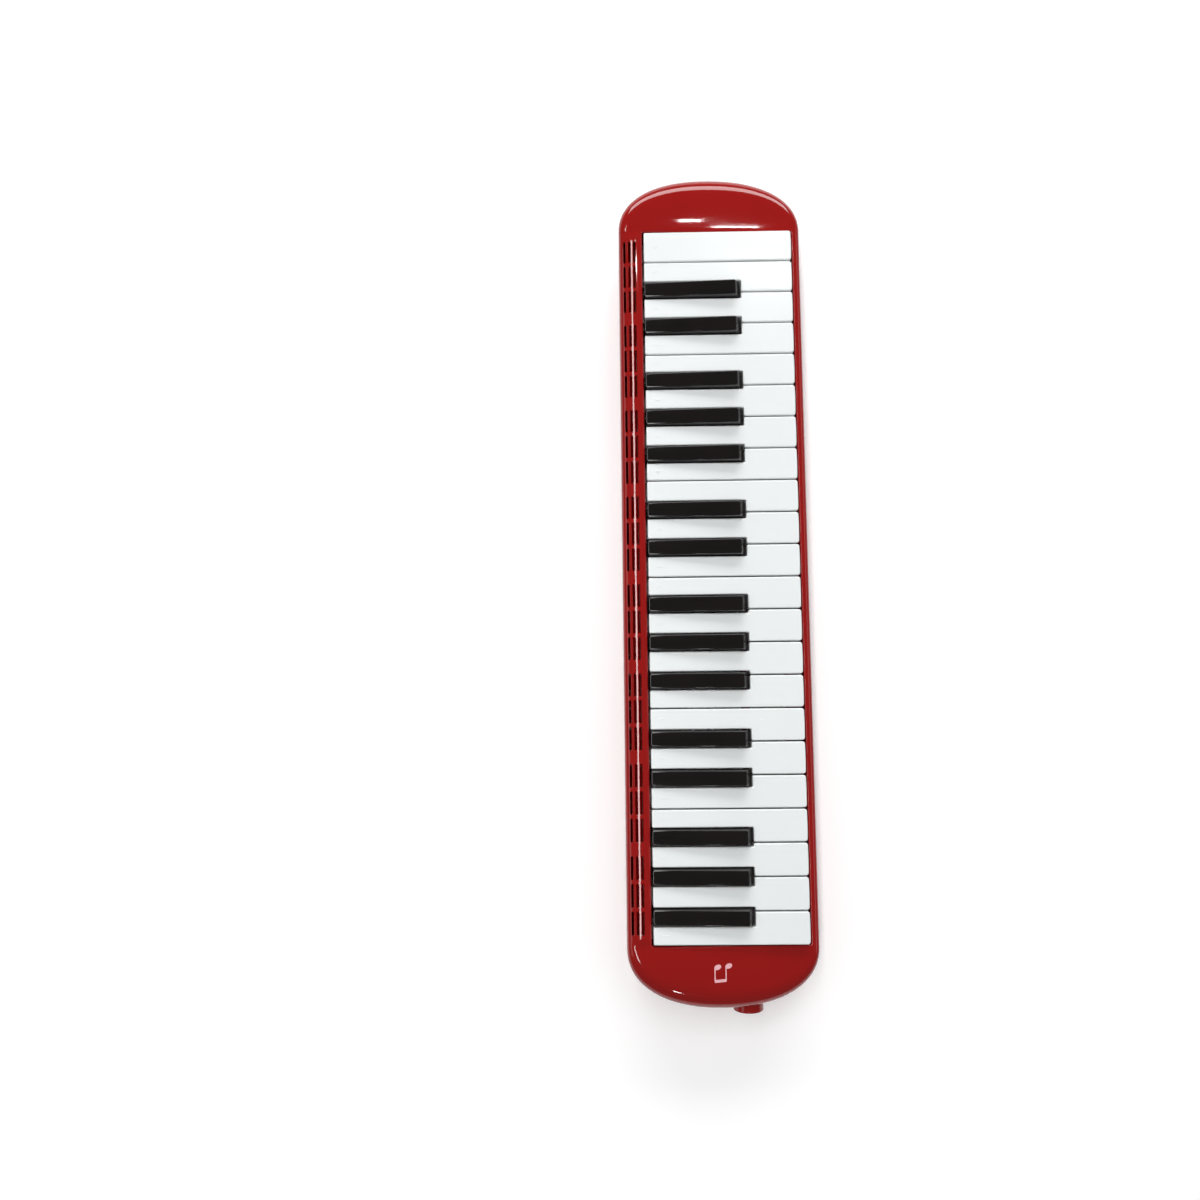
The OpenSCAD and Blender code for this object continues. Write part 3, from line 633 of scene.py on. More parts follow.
class MelodicaCaseSettings(bpy.types.PropertyGroup):
    """Sizes of the two case halves."""
    rim_height: FloatProperty(
        name="Rim height", description="Height of the front rim above the table",
        default=0.0356, unit="LENGTH")
    strip_height: FloatProperty(
        name="Strip height", description="Height of the edge behind the keys above the table",
        default=0.0386, unit="LENGTH")
    ridge_height: FloatProperty(
        name="Ridge height", description="How far the grille swells above that edge",
        default=0.0008, unit="LENGTH")
    slot_flare: FloatProperty(
        name="Slot flare", description="Width of the bevel round each slot",
        default=0.00028, unit="LENGTH")


class MELODICA_OT_upper_case(bpy.types.Operator):
    """Moulded upper case with its key opening and grille"""
    bl_idname = "melodica.upper_case"
    bl_label = "Upper case"

    def execute(self, context):
        case = context.scene.melodica_case
        shell = new_object("upper_case_shell", loft(upper_rings(case), joined=True))
        bosses = [boss(place, BOSS_R, SEAM_Z + 0.01, 35) for place in WELL_SCREWS]
        bosses += [boss(place, BOSS_R, SEAM_Z + 0.01, 37) for place in REAR_SCREWS]
        combine(shell, new_object("bosses", *bosses), "UNION")
        cutters = [grille_cutter(x, y, case) for x in GRILLE_X for y in GRILLE_Y]
        cutters += [boss(place, PILOT_R, SEAM_Z - 1, 31) for place in WELL_SCREWS + REAR_SCREWS]
        combine(shell, new_object("cutters", *cutters))
        combine(shell, new_object("socket_hole", socket_cutter()))
        dress(shell, finish("red_shell"), "case", ["upper_case"])
        return {"FINISHED"}


def socket_cutter():
    """The stepped round hole that both case halves leave for the socket."""
    wide, narrow = SOCKET_R + SOCKET_FIT, NECK_R + SOCKET_FIT
    depths = ((wide, -6), (wide, 21), (narrow, 21.2), (narrow, 34))
    return turned([(radius, depth - HALF_L) for radius, depth in depths], (0, *SOCKET), 70, "x")


def under(points):
    """Height of the underside: flat, bent upwards along two soft creases. A crease is the smooth ramp
    (t + sqrt(t^2 + k^2)) / 2 of the distance t behind it."""
    y = points[:, 1]
    ramps = ((y - CREASE_Y, UNDER_SLOPE, 1.2), (y - REAR_CREASE_Y, REAR_SLOPE, 1.8))
    return UNDER_Z + sum(slope * (t + np.sqrt(t * t + k * k)) / 2 for t, slope, k in ramps)


def patch_faces(ring_start, fill_start, flip):
    """Faces of a regular patch whose border is a ring of the case and whose inside points follow from
    fill_start, row after row."""
    across, along = END_STEPS + 2 * CORNER_STEPS, SIDE_STEPS
    index = np.empty((across + 1, along + 1), int)
    count = 2 * (across + along)
    index[0, :] = ring_start + np.arange(along + 1)
    index[:, along] = ring_start + along + np.arange(across + 1)
    index[across, ::-1] = ring_start + along + across + np.arange(along + 1)
    index[::-1, 0] = ring_start + (2 * along + across + np.arange(across + 1)) % count
    index[1:-1, 1:-1] = fill_start + np.arange((across - 1) * (along - 1)).reshape(across - 1, along - 1)
    quads = np.stack([index[:-1, :-1], index[:-1, 1:], index[1:, 1:], index[1:, :-1]], -1).reshape(-1, 4)
    return quads[:, ::-1] if flip else quads


def lower_shell():
    """The lower case: rings from the edge of a flat-sided patch outwards over the fillet and up the wall
    to the parting line, back down the inner faces, and a regular patch for each side of the floor."""
    side, angle = ring_shares()
    across = np.arange(len(angle)) / len(angle)
    border = np.concatenate([
        np.column_stack([2 * side - 1, np.full(len(side), -1)]),
        np.column_stack([np.ones(len(angle)), 2 * across - 1]),
        np.column_stack([1 - 2 * side, np.ones(len(side))]),
        np.column_stack([-np.ones(len(angle)), 1 - 2 * across])])
    border = border * PATCH_HALF
    fill_x, fill_y = np.meshgrid(2 * side[1:] - 1, 2 * across[1:] - 1)
    fill = np.column_stack([fill_x.ravel(), fill_y.ravel()]) * PATCH_HALF
    width = around(7.5, 1.6, 10, END_BLEND)

    def half(t):
        """Rings of the surface that lies t inside the outer one, from the patch to the parting line."""
        shoulder = case_ring(width + DRAFT)
        found = [shoulder * s + border * (1 - s) for s in smooth(np.linspace(0, 1, 12), -0.2, 1.0)]
        found[0], found[-1] = border, shoulder
        found = [lift(outline, under(outline) + t) for outline in found]
        height = np.minimum(around(7.5, 1.4, 8, END_BLEND), SEAM_Z - 0.8 - under(case_ring(DRAFT)))
        for turn in np.radians(np.linspace(90, 0, 9))[1:]:
            inset = DRAFT + t + np.maximum(width - t, 0.2) * (1 - np.cos(turn))
            outline = case_ring(inset)
            drop = np.maximum(height - t, 0.2) * (1 - np.sin(turn))
            found.append(lift(outline, np.minimum(under(outline) + t + drop, SEAM_Z - 0.5)))
        return found

    rings = half(0) + [lift(case_ring(0), SEAM_Z - SEAM), lift(case_ring(0.1), SEAM_Z - 0.1),
                       lift(case_ring(SEAM), SEAM_Z), lift(case_ring(WALL), SEAM_Z)]
    rings = np.array(rings + half(WALL)[::-1])
    rows, columns = rings.shape[:2]
    points, faces = loft(rings)
    count = rows * columns
    floor_in = lift(fill, under(fill) + WALL)
    floor_out = lift(fill, under(fill))
    faces = [faces[0], patch_faces(0, count, flip=True),
             patch_faces((rows - 1) * columns, count + len(fill), flip=False)]
    return np.concatenate([points, floor_out, floor_in]), faces


def sound_cutter(x):
    """A sound slot, flared where it meets the slope."""
    length, middle = SLOT_Y[1] - SLOT_Y[0], (SLOT_Y[0] + SLOT_Y[1]) / 2
    mouth = stadium(0, 0, length + 2 * SLOT_FLARE, SLOT_W + 2 * SLOT_FLARE)
    neck = stadium(0, 0, length, SLOT_W)
    mouth, neck = (np.column_stack([x - edge[:, 1], middle + edge[:, 0]]) for edge in (mouth, neck))
    return loft([lift(mouth, 0), lift(mouth, under(mouth)), lift(neck, under(neck) + SLOT_FLARE),
                 lift(neck, SLOT_TOP_Z)])


def foot_shell(place):
    """A peg foot: a domed tip, slightly conical sides and a flared root, run into the case."""
    root = float(under(np.array([place]))[0])
    tip, base, out = FOOT_TIP_R, FOOT_BASE_R, FOOT_FLARE[0]
    dome = [(tip * math.sin(a), FOOT_DOME * (1 - math.cos(a))) for a in np.radians(np.linspace(8, 90, 8))]
    side = [(tip + (base - tip) * s, FOOT_DOME + (root - FOOT_DOME - FOOT_FLARE[1]) * s) for s in (0.5, 1)]
    flare = [(base + out * (1 - math.cos(a)), root - FOOT_FLARE[1] * (1 - math.sin(a)))
             for a in np.radians((25, 50, 75, 90))]
    return turned(dome + side + flare + [(base + out, root + 1.6)], (*place, 0), 40)


class MELODICA_OT_lower_case(bpy.types.Operator):
    """Moulded lower case with its feet, sound slots, screw wells and lanyard eye"""
    bl_idname = "melodica.lower_case"
    bl_label = "Lower case"

    def execute(self, context):
        shell = new_object("lower_case_shell", lower_shell())
        lean = under(np.array(REAR_SCREWS))
        added = [foot_shell(place) for place in FEET]
        added += [boss(place, 4.6, UNDER_Z + 1, SEAM_Z - 0.01) for place in WELL_SCREWS]
        added += [boss(place, 5, z + 1, SEAM_Z - 0.01) for place, z in zip(REAR_SCREWS, lean)]
        added += [boss(place, 4.5, UNDER_Z + 1, 11.4) for place in CHAMBER_SCREWS]
        eye = rectangle(EYE_X[0] - 1, EYE_X[1] + 1, EYE_Y[0] - 1, EYE_Y[1] + 1)
        added.append(loft([lift(rounded(eye, 1), z) for z in (UNDER_Z + 0.8, UNDER_Z + EYE_DEPTH + 1)]))
        combine(shell, new_object("added", *added), "UNION")

        def stepped(place, mouth_z, *steps):
            """A stepped hole whose mouth is slightly flared."""
            first = steps[0][0]
            profile = [(first + 0.35, 0), (first + 0.35, mouth_z), (first, mouth_z + 0.3)]
            for (radius, _), (_, z) in zip(steps, steps):
                profile += [(radius, profile[-1][1]), (radius, z)]
            return turned(profile, (*place, 0), 40)

        cutters = [sound_cutter(x) for x in SOUND_SLOTS]
        pilot = (PILOT_R, PILOT_Z)
        cutters += [stepped(place, UNDER_Z, (2.6, 17.5), (2.45, 19.1), pilot) for place in WELL_SCREWS]
        cutters += [stepped(place, z, (3.3, 15.4), pilot) for place, z in zip(REAR_SCREWS, lean)]
        cutters += [stepped(place, UNDER_Z, (3.3, 10.7), (PILOT_R, 13)) for place in CHAMBER_SCREWS]
        cutters.append(stepped(DRAIN, UNDER_Z, (5.4, 9.3), (4.4, 13)))
        for x0, x1 in ((EYE_X[0], EYE_BAR_X[0]), (EYE_BAR_X[1], EYE_X[1])):
            hole = rounded(rectangle(x0, x1, *EYE_Y), 1.2)
            cutters.append(loft([lift(hole, z) for z in (0, UNDER_Z + EYE_DEPTH)]))
        combine(shell, new_object("cutters", *cutters))
        combine(shell, new_object("socket_hole", socket_cutter()))
        bridge = rounded(rectangle(EYE_X[0] + 0.5, EYE_X[1] - 0.5, *EYE_Y), 0.9)
        tunnel = loft([lift(bridge, z) for z in (UNDER_Z + EYE_BAR_T, UNDER_Z + EYE_DEPTH)])
        combine(shell, new_object("tunnel", tunnel))
        dress(shell, finish("red_shell"), "case", ["lower_case"])
        return {"FINISHED"}


# ---- keys ----------------------------------------------------------------------------------

class MelodicaKeySettings(bpy.types.PropertyGroup):
    """Rounding of the keys."""
    white_edge: FloatProperty(
        name="White edge", description="Radius of the top edges of the white keys",
        default=0.0007, unit="LENGTH")
    white_corner: FloatProperty(
        name="White corner", description="Radius of the front corners in plan", default=0.0014, unit="LENGTH")
    front_bulge: FloatProperty(
        name="Front bulge", description="How far the front edge curves out", default=0.0003, unit="LENGTH")
    black_edge: FloatProperty(
        name="Black edge", description="Radius of the top edges of the black keys",
        default=0.0008, unit="LENGTH")
    digit_size: FloatProperty(
        name="Digit size", description="Height of the raised scale degree", default=0.0034, unit="LENGTH")


def middle_x(node):
    """Middle of a key, from its CAD node."""
    low, high = span(node)
    return (low[0] + high[0]) / 2 - CASE_X


BLACK_X = np.array([middle_x(node) for node in BLACKS])
BLACK_HALF = (BLACK_HIGH[0] - BLACK_LOW[0]) / 2
WHITE_X = np.array([middle_x(node) for node in WHITES])
WHITE_HALF = (KEY_HIGH[0] - KEY_LOW[0]) / 2


def flanks(x):
    """Left and right side of a white key behind its notches: its own side, or clear of a black key."""
    left, right = x - WHITE_HALF, x + WHITE_HALF
    for black in BLACK_X[np.abs(BLACK_X - x) < WHITE_HALF + BLACK_HALF]:
        if black < x:
            left = black + BLACK_HALF + SIDE_CLEAR
        else:
            right = black - BLACK_HALF - SIDE_CLEAR
    return left, right


def white_corners(x, keys):
    """Corners and corner radii of a white key in plan. The middle of the front edge is a corner with a
    radius so large that its arc makes the whole edge bulge."""
    left, right = flanks(x)
    low, high = x - WHITE_HALF, x + WHITE_HALF
    bulge, corner = keys.front_bulge / MM, keys.white_corner / MM
    corners = [(low, KEY_FRONT_Y), (x, KEY_FRONT_Y - bulge), (high, KEY_FRONT_Y)]
    radii = [corner, WHITE_HALF * (WHITE_HALF - 1.2 * corner) / bulge, corner]
    if right < high:
        corners += [(high, NOTCH_Y), (right, NOTCH_Y)]
        radii += [0.8, 0.6]
    corners += [(right, KEY_REAR_Y), (left, KEY_REAR_Y)]
    radii += [0.8, 0.8]
    if left > low:
        corners += [(left, NOTCH_Y), (low, NOTCH_Y)]
        radii += [0.6, 0.8]
    return corners, radii


def white_shell(x, keys):
    """A white key: rings of its plan outline from under its skin, round the skirt, up the side and over
    the top edge; a flat face closes the top."""
    corners, radii = white_corners(x, keys)
    edge = keys.white_edge / MM
    outer = rounded(corners, radii)
    skirt = np.where(outer[:, 1] < NOTCH_Y + 0.3, FRONT_SKIRT_Z, REAR_SKIRT_Z)
    levels = [(KEY_WALL, KEY_Z - KEY_SKIN), (KEY_WALL, skirt), (0.2, skirt), (0, skirt + 0.2),
              (0, KEY_Z - edge - 0.2)]
    levels += [(inset, KEY_Z - drop) for inset, drop in fillet(edge)] + [(edge + 0.15, KEY_Z)]
    return loft([lift(rounded(corners, radii, inset), z) for inset, z in levels])


def black_shell(x, keys):
    """A black key: rounded rectangles from under its skin, round the skirt and the base, in over a narrow
    ledge, up the drafted sides and over the top edge. The top falls towards the rear."""
    edge = keys.black_edge / MM
    top, rear_top = BLACK_TOP_Z - 0.1, KEY_Z + 1.1
    half, front, rear = BLACK_HALF, BLACK_FRONT_Y, KEY_REAR_Y
    sides = 0.35
    levels = [
        (half - KEY_WALL, front + 3.6, rear - 1.5, 0.8, top - 2.6, rear_top - 1.8),
        (half - KEY_WALL, front + 3.6, rear - 1.5, 0.8, REAR_SKIRT_Z, REAR_SKIRT_Z),
        (half - 0.2, front + 0.2, rear, 0.8, REAR_SKIRT_Z, REAR_SKIRT_Z),
        (half, front, rear, 0.9, REAR_SKIRT_Z + 0.2, REAR_SKIRT_Z + 0.2),
        (half, front, rear, 0.9, KEY_Z + 0.55, KEY_Z + 0.2),
        (half - 0.06, front + 0.1, rear, 0.9, KEY_Z + 0.72, KEY_Z + 0.3),
        (half - 0.12, front + 0.75, rear, 0.9, KEY_Z + 0.95, KEY_Z + 0.36),
        (half - 0.14, front + 0.85, rear, 0.9, KEY_Z + 1.1, KEY_Z + 0.42)]
    shoulder = half - sides
    for share in (0.15, 0.93, 1):
        levels.append((half - 0.14 - (sides - 0.14) * share, front + 0.85 + 1.25 * share, rear, 1.0,
                       KEY_Z + 1.1 + (top - edge - KEY_Z - 1.1) * share, rear_top - 0.45 + 0.1 * share))
    for inset, drop in fillet(edge)[1:]:
        levels.append((shoulder - inset, front + 2.1 + 1.1 * inset, rear - 0.4 * inset, 1.1 - 0.6 * inset,
                       top - drop, rear_top - 0.5 * drop))
    levels.append((shoulder - edge - 0.15, front + 2.1 + 1.1 * edge + 0.15, rear - 0.5, 0.5,
                   top - 0.015, rear_top))
    rings = []
    for half_w, y0, y1, radius, z0, z1 in levels:
        outline = rounded(rectangle(x - half_w, x + half_w, y0, y1), radius)
        rings.append(lift(outline, z0 + (z1 - z0) * (outline[:, 1] - y0) / (y1 - y0)))
    return loft(rings)


def plate(profile, x, width, radii, steps, bevel):
    """An upright plate: a rounded y-z outline carried along x, with its two faces slightly inset."""
    rings = []
    for along, inset in ((0, bevel), (bevel, 0), (width - bevel, 0), (width, bevel)):
        outline = rounded(profile, radii, inset, steps)
        rings.append(np.column_stack([np.full(len(outline), x - width / 2 + along), outline]))
    return loft(rings)


def lever_shell(x, low_z, skin_z):
    """Web under a key, from its front end to the pad carrier at the tail, open below to clip on the rod."""
    mouth, grip = ROD_R * 0.8, ROD_R + 1.8
    corners = [(LEVER_FRONT_Y, low_z + 2), (LEVER_FRONT_Y + 1, low_z), (PIVOT_Y - grip, low_z),
               (PIVOT_Y - mouth, PIVOT_Z - grip)]
    bore = [(PIVOT_Y - (ROD_R + 0.08) * math.sin(a), PIVOT_Z - (ROD_R + 0.08) * math.cos(a))
            for a in np.radians(np.linspace(50, 310, 14))]
    corners += bore + [(PIVOT_Y + mouth, PIVOT_Z - grip), (PIVOT_Y + grip, CARRIER_Z + 0.4),
                       (PAD_Y, CARRIER_Z), (PAD_Y, CARRIER_Z + CARRIER_T + 0.5), (KEY_REAR_Y - 3, skin_z),
                       (LEVER_FRONT_Y, skin_z)]
    return plate(corners, x, LEVER_W, 0.12, 2, 0.1)


def pad_shell(x, low, high, grow=0.0):
    """A flat block with rounded edges, as wide as a key's pad."""
    half_w, half_l = PAD_W / 2 + grow, PAD_L / 2 + grow
    outline = rectangle(x - half_w, x + half_w, PAD_Y - half_l, PAD_Y + half_l)
    edge = min(0.3, (high - low) / 3)
    return loft([lift(rounded(outline, 1.0, inset), z) for inset, z in
                 ((edge, low), (0, low + edge), (0, high - edge), (edge, high))])


def build_key(name, lever_x, low_z, skin_z, shell, node, body, colour):
    """One key: its cap, joined with its lever, and the rubber pad on the lever's tail."""
    cap = new_object(name, shell)
    combine(cap, new_object("lever", lever_shell(lever_x, low_z, skin_z)), "UNION")
    combine(cap, new_object("carrier", pad_shell(lever_x, CARRIER_Z, CARRIER_Z + CARRIER_T)), "UNION")
    dress(cap, finish(colour), body, [node], crease=40)
    pad = new_object(name.replace("key", "key_pad"), pad_shell(lever_x, DECK_Z + 0.05, CARRIER_Z, -0.1))
    dress(pad, finish("seal_rubber"), body)


def raised_digit(name, digit, x, keys):
    """The scale degree of a white key in low relief, read from the front of the keyboard."""
    size = keys.digit_size
    curve = bpy.data.curves.new(name, "FONT")
    curve.body = str(digit)
    curve.size = size * 1.35
    curve.extrude = 0.00011
    curve.bevel_depth = 0.00004
    curve.align_x = "CENTER"
    curve.resolution_u = 4
    text = bpy.data.objects.new(name, curve)
    bpy.context.scene.collection.objects.link(text)
    bpy.context.view_layer.update()
    mesh = bpy.data.meshes.new_from_object(text.evaluated_get(bpy.context.evaluated_depsgraph_get()))
    bpy.data.objects.remove(text)
    bpy.data.curves.remove(curve)
    weld(mesh)
    mesh.transform(Matrix.Translation(((x + CASE_X) * MM, (KEY_REAR_Y - DIGIT_INSET) * MM, KEY_Z * MM)))
    piece = bpy.data.objects.new(name, mesh)
    bpy.context.scene.collection.objects.link(piece)
    return piece


class MELODICA_OT_white_keys(bpy.types.Operator):
    """The white keys with their levers, pads and raised digits"""
    bl_idname = "melodica.white_keys"
    bl_label = "White keys"

    def execute(self, context):
        keys = context.scene.melodica_keys
        for index, (node, x) in enumerate(zip(WHITES, WHITE_X)):
            number = node[-2:]
            body = "white_" + number
            lever_x = sum(flanks(x)) / 2
            build_key("white_key_cap_" + number, lever_x, WHITE_LEVER_Z, KEY_Z - KEY_SKIN + 0.4,
                      white_shell(x, keys), node, body, "white_plastic")
            digit = raised_digit("white_key_digit_" + number, (index + 3) % 7 + 1, lever_x, keys)
            dress(digit, finish("white_plastic"), body)
        return {"FINISHED"}


class MELODICA_OT_black_keys(bpy.types.Operator):
    """The black keys with their levers and pads"""
    bl_idname = "melodica.black_keys"
    bl_label = "Black keys"

    def execute(self, context):
        keys = context.scene.melodica_keys
        for node, x in zip(BLACKS, BLACK_X):
            number = node[-2:]
            build_key("black_key_cap_" + number, x, BLACK_LEVER_Z, KEY_Z - 0.4, black_shell(x, keys),
                      node, "black_" + number, "black_plastic")
        return {"FINISHED"}


# ---- socket, water release and screws --------------------------------------------------------

class MELODICA_OT_air_parts(bpy.types.Operator):
    """Mouthpiece socket and water release button"""
    bl_idname = "melodica.air_parts"
    bl_label = "Socket and water release"

    def execute(self, context):
        start, end = SOCKET_LOW[0] - CASE_X, SOCKET_HIGH[0] - CASE_X
        bore, throat, lip, edge, neck_start = 5.5, 4.5, 1.0, 0.6, start + 22
        rim = [(bore + edge * (1 - math.sin(a)), start + edge * (1 - math.cos(a)))
               for a in np.radians((0, 30, 60, 90))]
        rim += [(SOCKET_R - lip * (1 - math.sin(a)), start + lip * (1 - math.cos(a)))
                for a in np.radians(np.linspace(0, 90, 7))]
        profile = rim + [(SOCKET_R, neck_start), (NECK_R, neck_start), (NECK_R, end), (throat, end),
                         (throat, neck_start - 1), (bore, neck_start - 1)]
        socket = new_object("socket_tube", turned(profile, (0, *SOCKET), 96, "x", joined=True))
        dress(socket, finish("red_shell"), "case", ["mouthpiece_socket"], crease=40)
        low, r, flange, stem = DRAIN_LOW[2], 4.25, 4.9, 1.5
        flange_low, flange_high = 10.6, 11.2
        dome = [(r * math.sin(a), low + 0.7 * (1 - math.cos(a)) + 0.02)
                for a in np.radians(np.linspace(5, 78, 8))]
        profile = dome + [(r, low + 0.8), (r, flange_low), (flange, flange_low), (flange, flange_high),
                          (stem, flange_high), (stem, DRAIN_HIGH[2])]
        button = new_object("drain_button_cap", turned(profile, (*DRAIN, 0), 64))
        dress(button, finish("red_shell"), "drain", ["drain_button"], crease=40)
        return {"FINISHED"}


def screw_shell(place, low, radius, head, thick, length):
    """A pan-head screw that points up: a domed head, a shank with thread rings and a blunt tip."""
    dome = [(head * math.sin(a), low + 0.45 * (1 - math.cos(a))) for a in np.radians(np.linspace(8, 90, 7))]
    neck = low + thick
    profile = dome + [(head, neck - 0.1), (head - 0.1, neck)]
    for turn in range(int((length - 1) / THREAD_PITCH)):
        z = neck + 0.4 + turn * THREAD_PITCH
        profile += [(radius * 0.8, z), (radius, z + 0.4 * THREAD_PITCH), (radius, z + 0.5 * THREAD_PITCH)]
    profile += [(radius * 0.8, neck + length - 0.8), (radius * 0.3, neck + length)]
    return turned(profile, (*place, 0), 40)


def cross_cutter(place, low, head):
    """The cross recess of a screw head: two tapered blades, turned as the screw happens to stand."""
    shells = []
    cosine, sine = math.cos(0.3 + place[0]), math.sin(0.3 + place[0])
    turn = np.array([[cosine, sine], [-sine, cosine]])
    length, width, corner = 0.62 * head, 0.15 * head, 0.05 * head
    for swap in (1, -1):
        rings = []
        for share, z in ((1.1, low - 1), (1, low), (0.45, low + 0.45 * head)):
            outline = rounded(rectangle(-length * share, length * share, -width, width), corner)
            if swap < 0:
                outline = outline @ np.array([[0, 1], [-1, 0]])
            rings.append(lift(outline @ turn + place, z))
        shells.append(loft(rings))
    return shells


class MELODICA_OT_screws(bpy.types.Operator):
    """Cross-head screws under the case"""
    bl_idname = "melodica.screws"
    bl_label = "Screws"

    def execute(self, context):
        case_screws = [(place, *WELL_SCREW) for place in WELL_SCREWS]
        case_screws += [(place, *REAR_SCREW) for place in REAR_SCREWS]
        chamber_screws = [(place, *CHAMBER_SCREW) for place in CHAMBER_SCREWS]
        for node, screws in (("case_screws", case_screws), ("chamber_screws", chamber_screws)):
            piece = new_object(node + "_turned", *[screw_shell(*screw) for screw in screws])
            for direction in (0, 1):
                blades = [cross_cutter(place, low, head)[direction] for place, low, _, head, _, _ in screws]
                combine(piece, new_object("blades", *blades))
                weld(piece.data)
            dress(piece, finish("screw_steel"), "case", [node])
        return {"FINISHED"}


# ---- hand strap ----------------------------------------------------------------------------

def on_slope(points):
    """Points given along the case, across the strap and out of the case, laid on the sloping underside."""
    x, across, out = np.moveaxis(np.asarray(points, float), -1, 0)
    base = UNDER_Z + (STRAP_Y - CREASE_Y) * UNDER_SLOPE
    cosine, sine = math.cos(SLOPE_ANGLE), math.sin(SLOPE_ANGLE)
    return np.stack([x, STRAP_Y + across * cosine + out * sine, base + across * sine - out * cosine], -1)


class MelodicaStrapSettings(bpy.types.PropertyGroup):
    """Sizes of the hand strap."""
    width: FloatProperty(name="Width", description="Width of the strap", default=0.0146, unit="LENGTH")
    thickness: FloatProperty(
        name="Thickness", description="Thickness of the strap", default=0.0016, unit="LENGTH")
    gap: FloatProperty(
        name="Finger room", description="Room between the case and the middle of the strap",
        default=0.007, unit="LENGTH")


def strap_path(strap, steps=96):
    """Middle line of the strap: straight in its holders and a half sine between them, with its length."""
    start, end = HOLDERS["bass"][1], HOLDERS["treble"][0]
    x = np.linspace(STRAP_ENDS[0], STRAP_ENDS[1], steps)
    share = np.clip((x - start) / (end - start), 0, 1)
    rest = STRAP_REST - strap.thickness / MM / 2
    rise = strap.gap / MM + strap.thickness / MM / 2 - rest
    out = rest + rise * np.sin(np.pi * share) ** 1.15
    return x, out, np.hypot(np.diff(x), np.diff(out)).sum()


def strap_section(half, thick, steps=6):
    """Cross-section of the strap: two flat faces and half-round selvedges, anticlockwise."""
    right = np.linspace(-np.pi / 2, np.pi / 2, steps + 1)
    flat = np.linspace(-half + thick, half - thick, 9)[1:-1]
    r = thick / 2
    right = np.column_stack([half - r + r * np.cos(right), r * np.sin(right)])
    top = np.column_stack([flat[::-1], np.full(len(flat), r)])
    return np.concatenate([right, top, -right, -top])


def add_weave_map(piece, width):
    """A UV map in which one unit is one width of the strap, along it and across it."""
    mesh = piece.data
    points = np.empty(len(mesh.vertices) * 3)
    mesh.vertices.foreach_get("co", points)
    corner = np.empty(len(mesh.loops), np.int32)
    mesh.loops.foreach_get("vertex_index", corner)
    points = points.reshape(-1, 3)[corner]
    layer = mesh.uv_layers.new(name="weave")
    layer.data.foreach_set("uv", (points[:, :2] / width).astype(np.float32).ravel())


def holder_shell(x0, x1):
    """A strap holder: rounded rectangles stacked out of the case, over a round edge to a slightly domed
    top."""
    outline = rectangle(x0, x1, -HOLDER_W / 2, HOLDER_W / 2)
    edge = 1.3
    levels = [(0, -1.2), (0, 0.1)] + [(0.15 * s, HOLDER_H * s) for s in (0.3, 0.6)]
    levels += [(0.15 + inset, HOLDER_H - drop - 0.12) for inset, drop in fillet(edge)]
    levels += [(0.15 + edge + 1.2, HOLDER_H - 0.05), (0.15 + edge + 3.5, HOLDER_H)]
    rings = [lift(rounded(outline, 2.2 if inset < 2 else 4.2, inset), out) for inset, out in levels]
    points, faces = loft([ring[::-1] for ring in rings])
    return on_slope(points), faces


def slope_box(x0, x1, half, low, high):
    """A box in the frame of the slope."""
    outline = rounded(rectangle(x0, x1, -half, half), 0.3)
    points, faces = loft([lift(outline, out)[::-1] for out in (low, high)])
    return on_slope(points), faces


class MELODICA_OT_hand_strap(bpy.types.Operator):
    """Woven hand strap and the two holders that keep it on the case"""
    bl_idname = "melodica.hand_strap"
    bl_label = "Hand strap"

    def execute(self, context):
        strap = context.scene.melodica_strap
        width, thick = strap.width / MM, strap.thickness / MM
        x, out, length = strap_path(strap)
        slope = np.gradient(out, x)
        normal = unit(np.column_stack([-slope, np.ones(len(x))]))
        section = strap_section(width / 2, thick * 0.96)
        rings = np.empty((len(x), len(section), 3))
        rings[..., 0] = x[:, None] + normal[:, :1] * section[:, 1]
        rings[..., 1] = section[:, 0]
        rings[..., 2] = out[:, None] + normal[:, 1:] * section[:, 1]
        points, faces = loft(rings[::-1])
        piece = new_object("hand_strap_webbing", (on_slope(points), faces))
        add_weave_map(piece, strap.width)
        dress(piece, finish("strap_webbing"), "case", ["hand_strap"])
        for end, (x0, x1) in HOLDERS.items():
            holder = new_object("strap_holder_" + end + "_moulding", holder_shell(x0, x1))
            low, high = (STRAP_ENDS[0] - 0.1, x1 + 3) if end == "bass" else (x0 - 3, STRAP_ENDS[1] + 0.1)
            mouth = slope_box(low, high, width / 2 + 0.15, STRAP_REST - thick - 0.1, STRAP_REST + 0.1)
            combine(holder, new_object("mouth", mouth))
            dress(holder, finish("red_shell"), "case", ["strap_holder_" + end])
        return {"FINISHED"}


# ---- printed mark --------------------------------------------------------------------------

MARK_PLACE = (-219.5, 0.6)
MARK_SCALE = 1.6
MARK_SINK, MARK_STAND = 0.1, 0.07


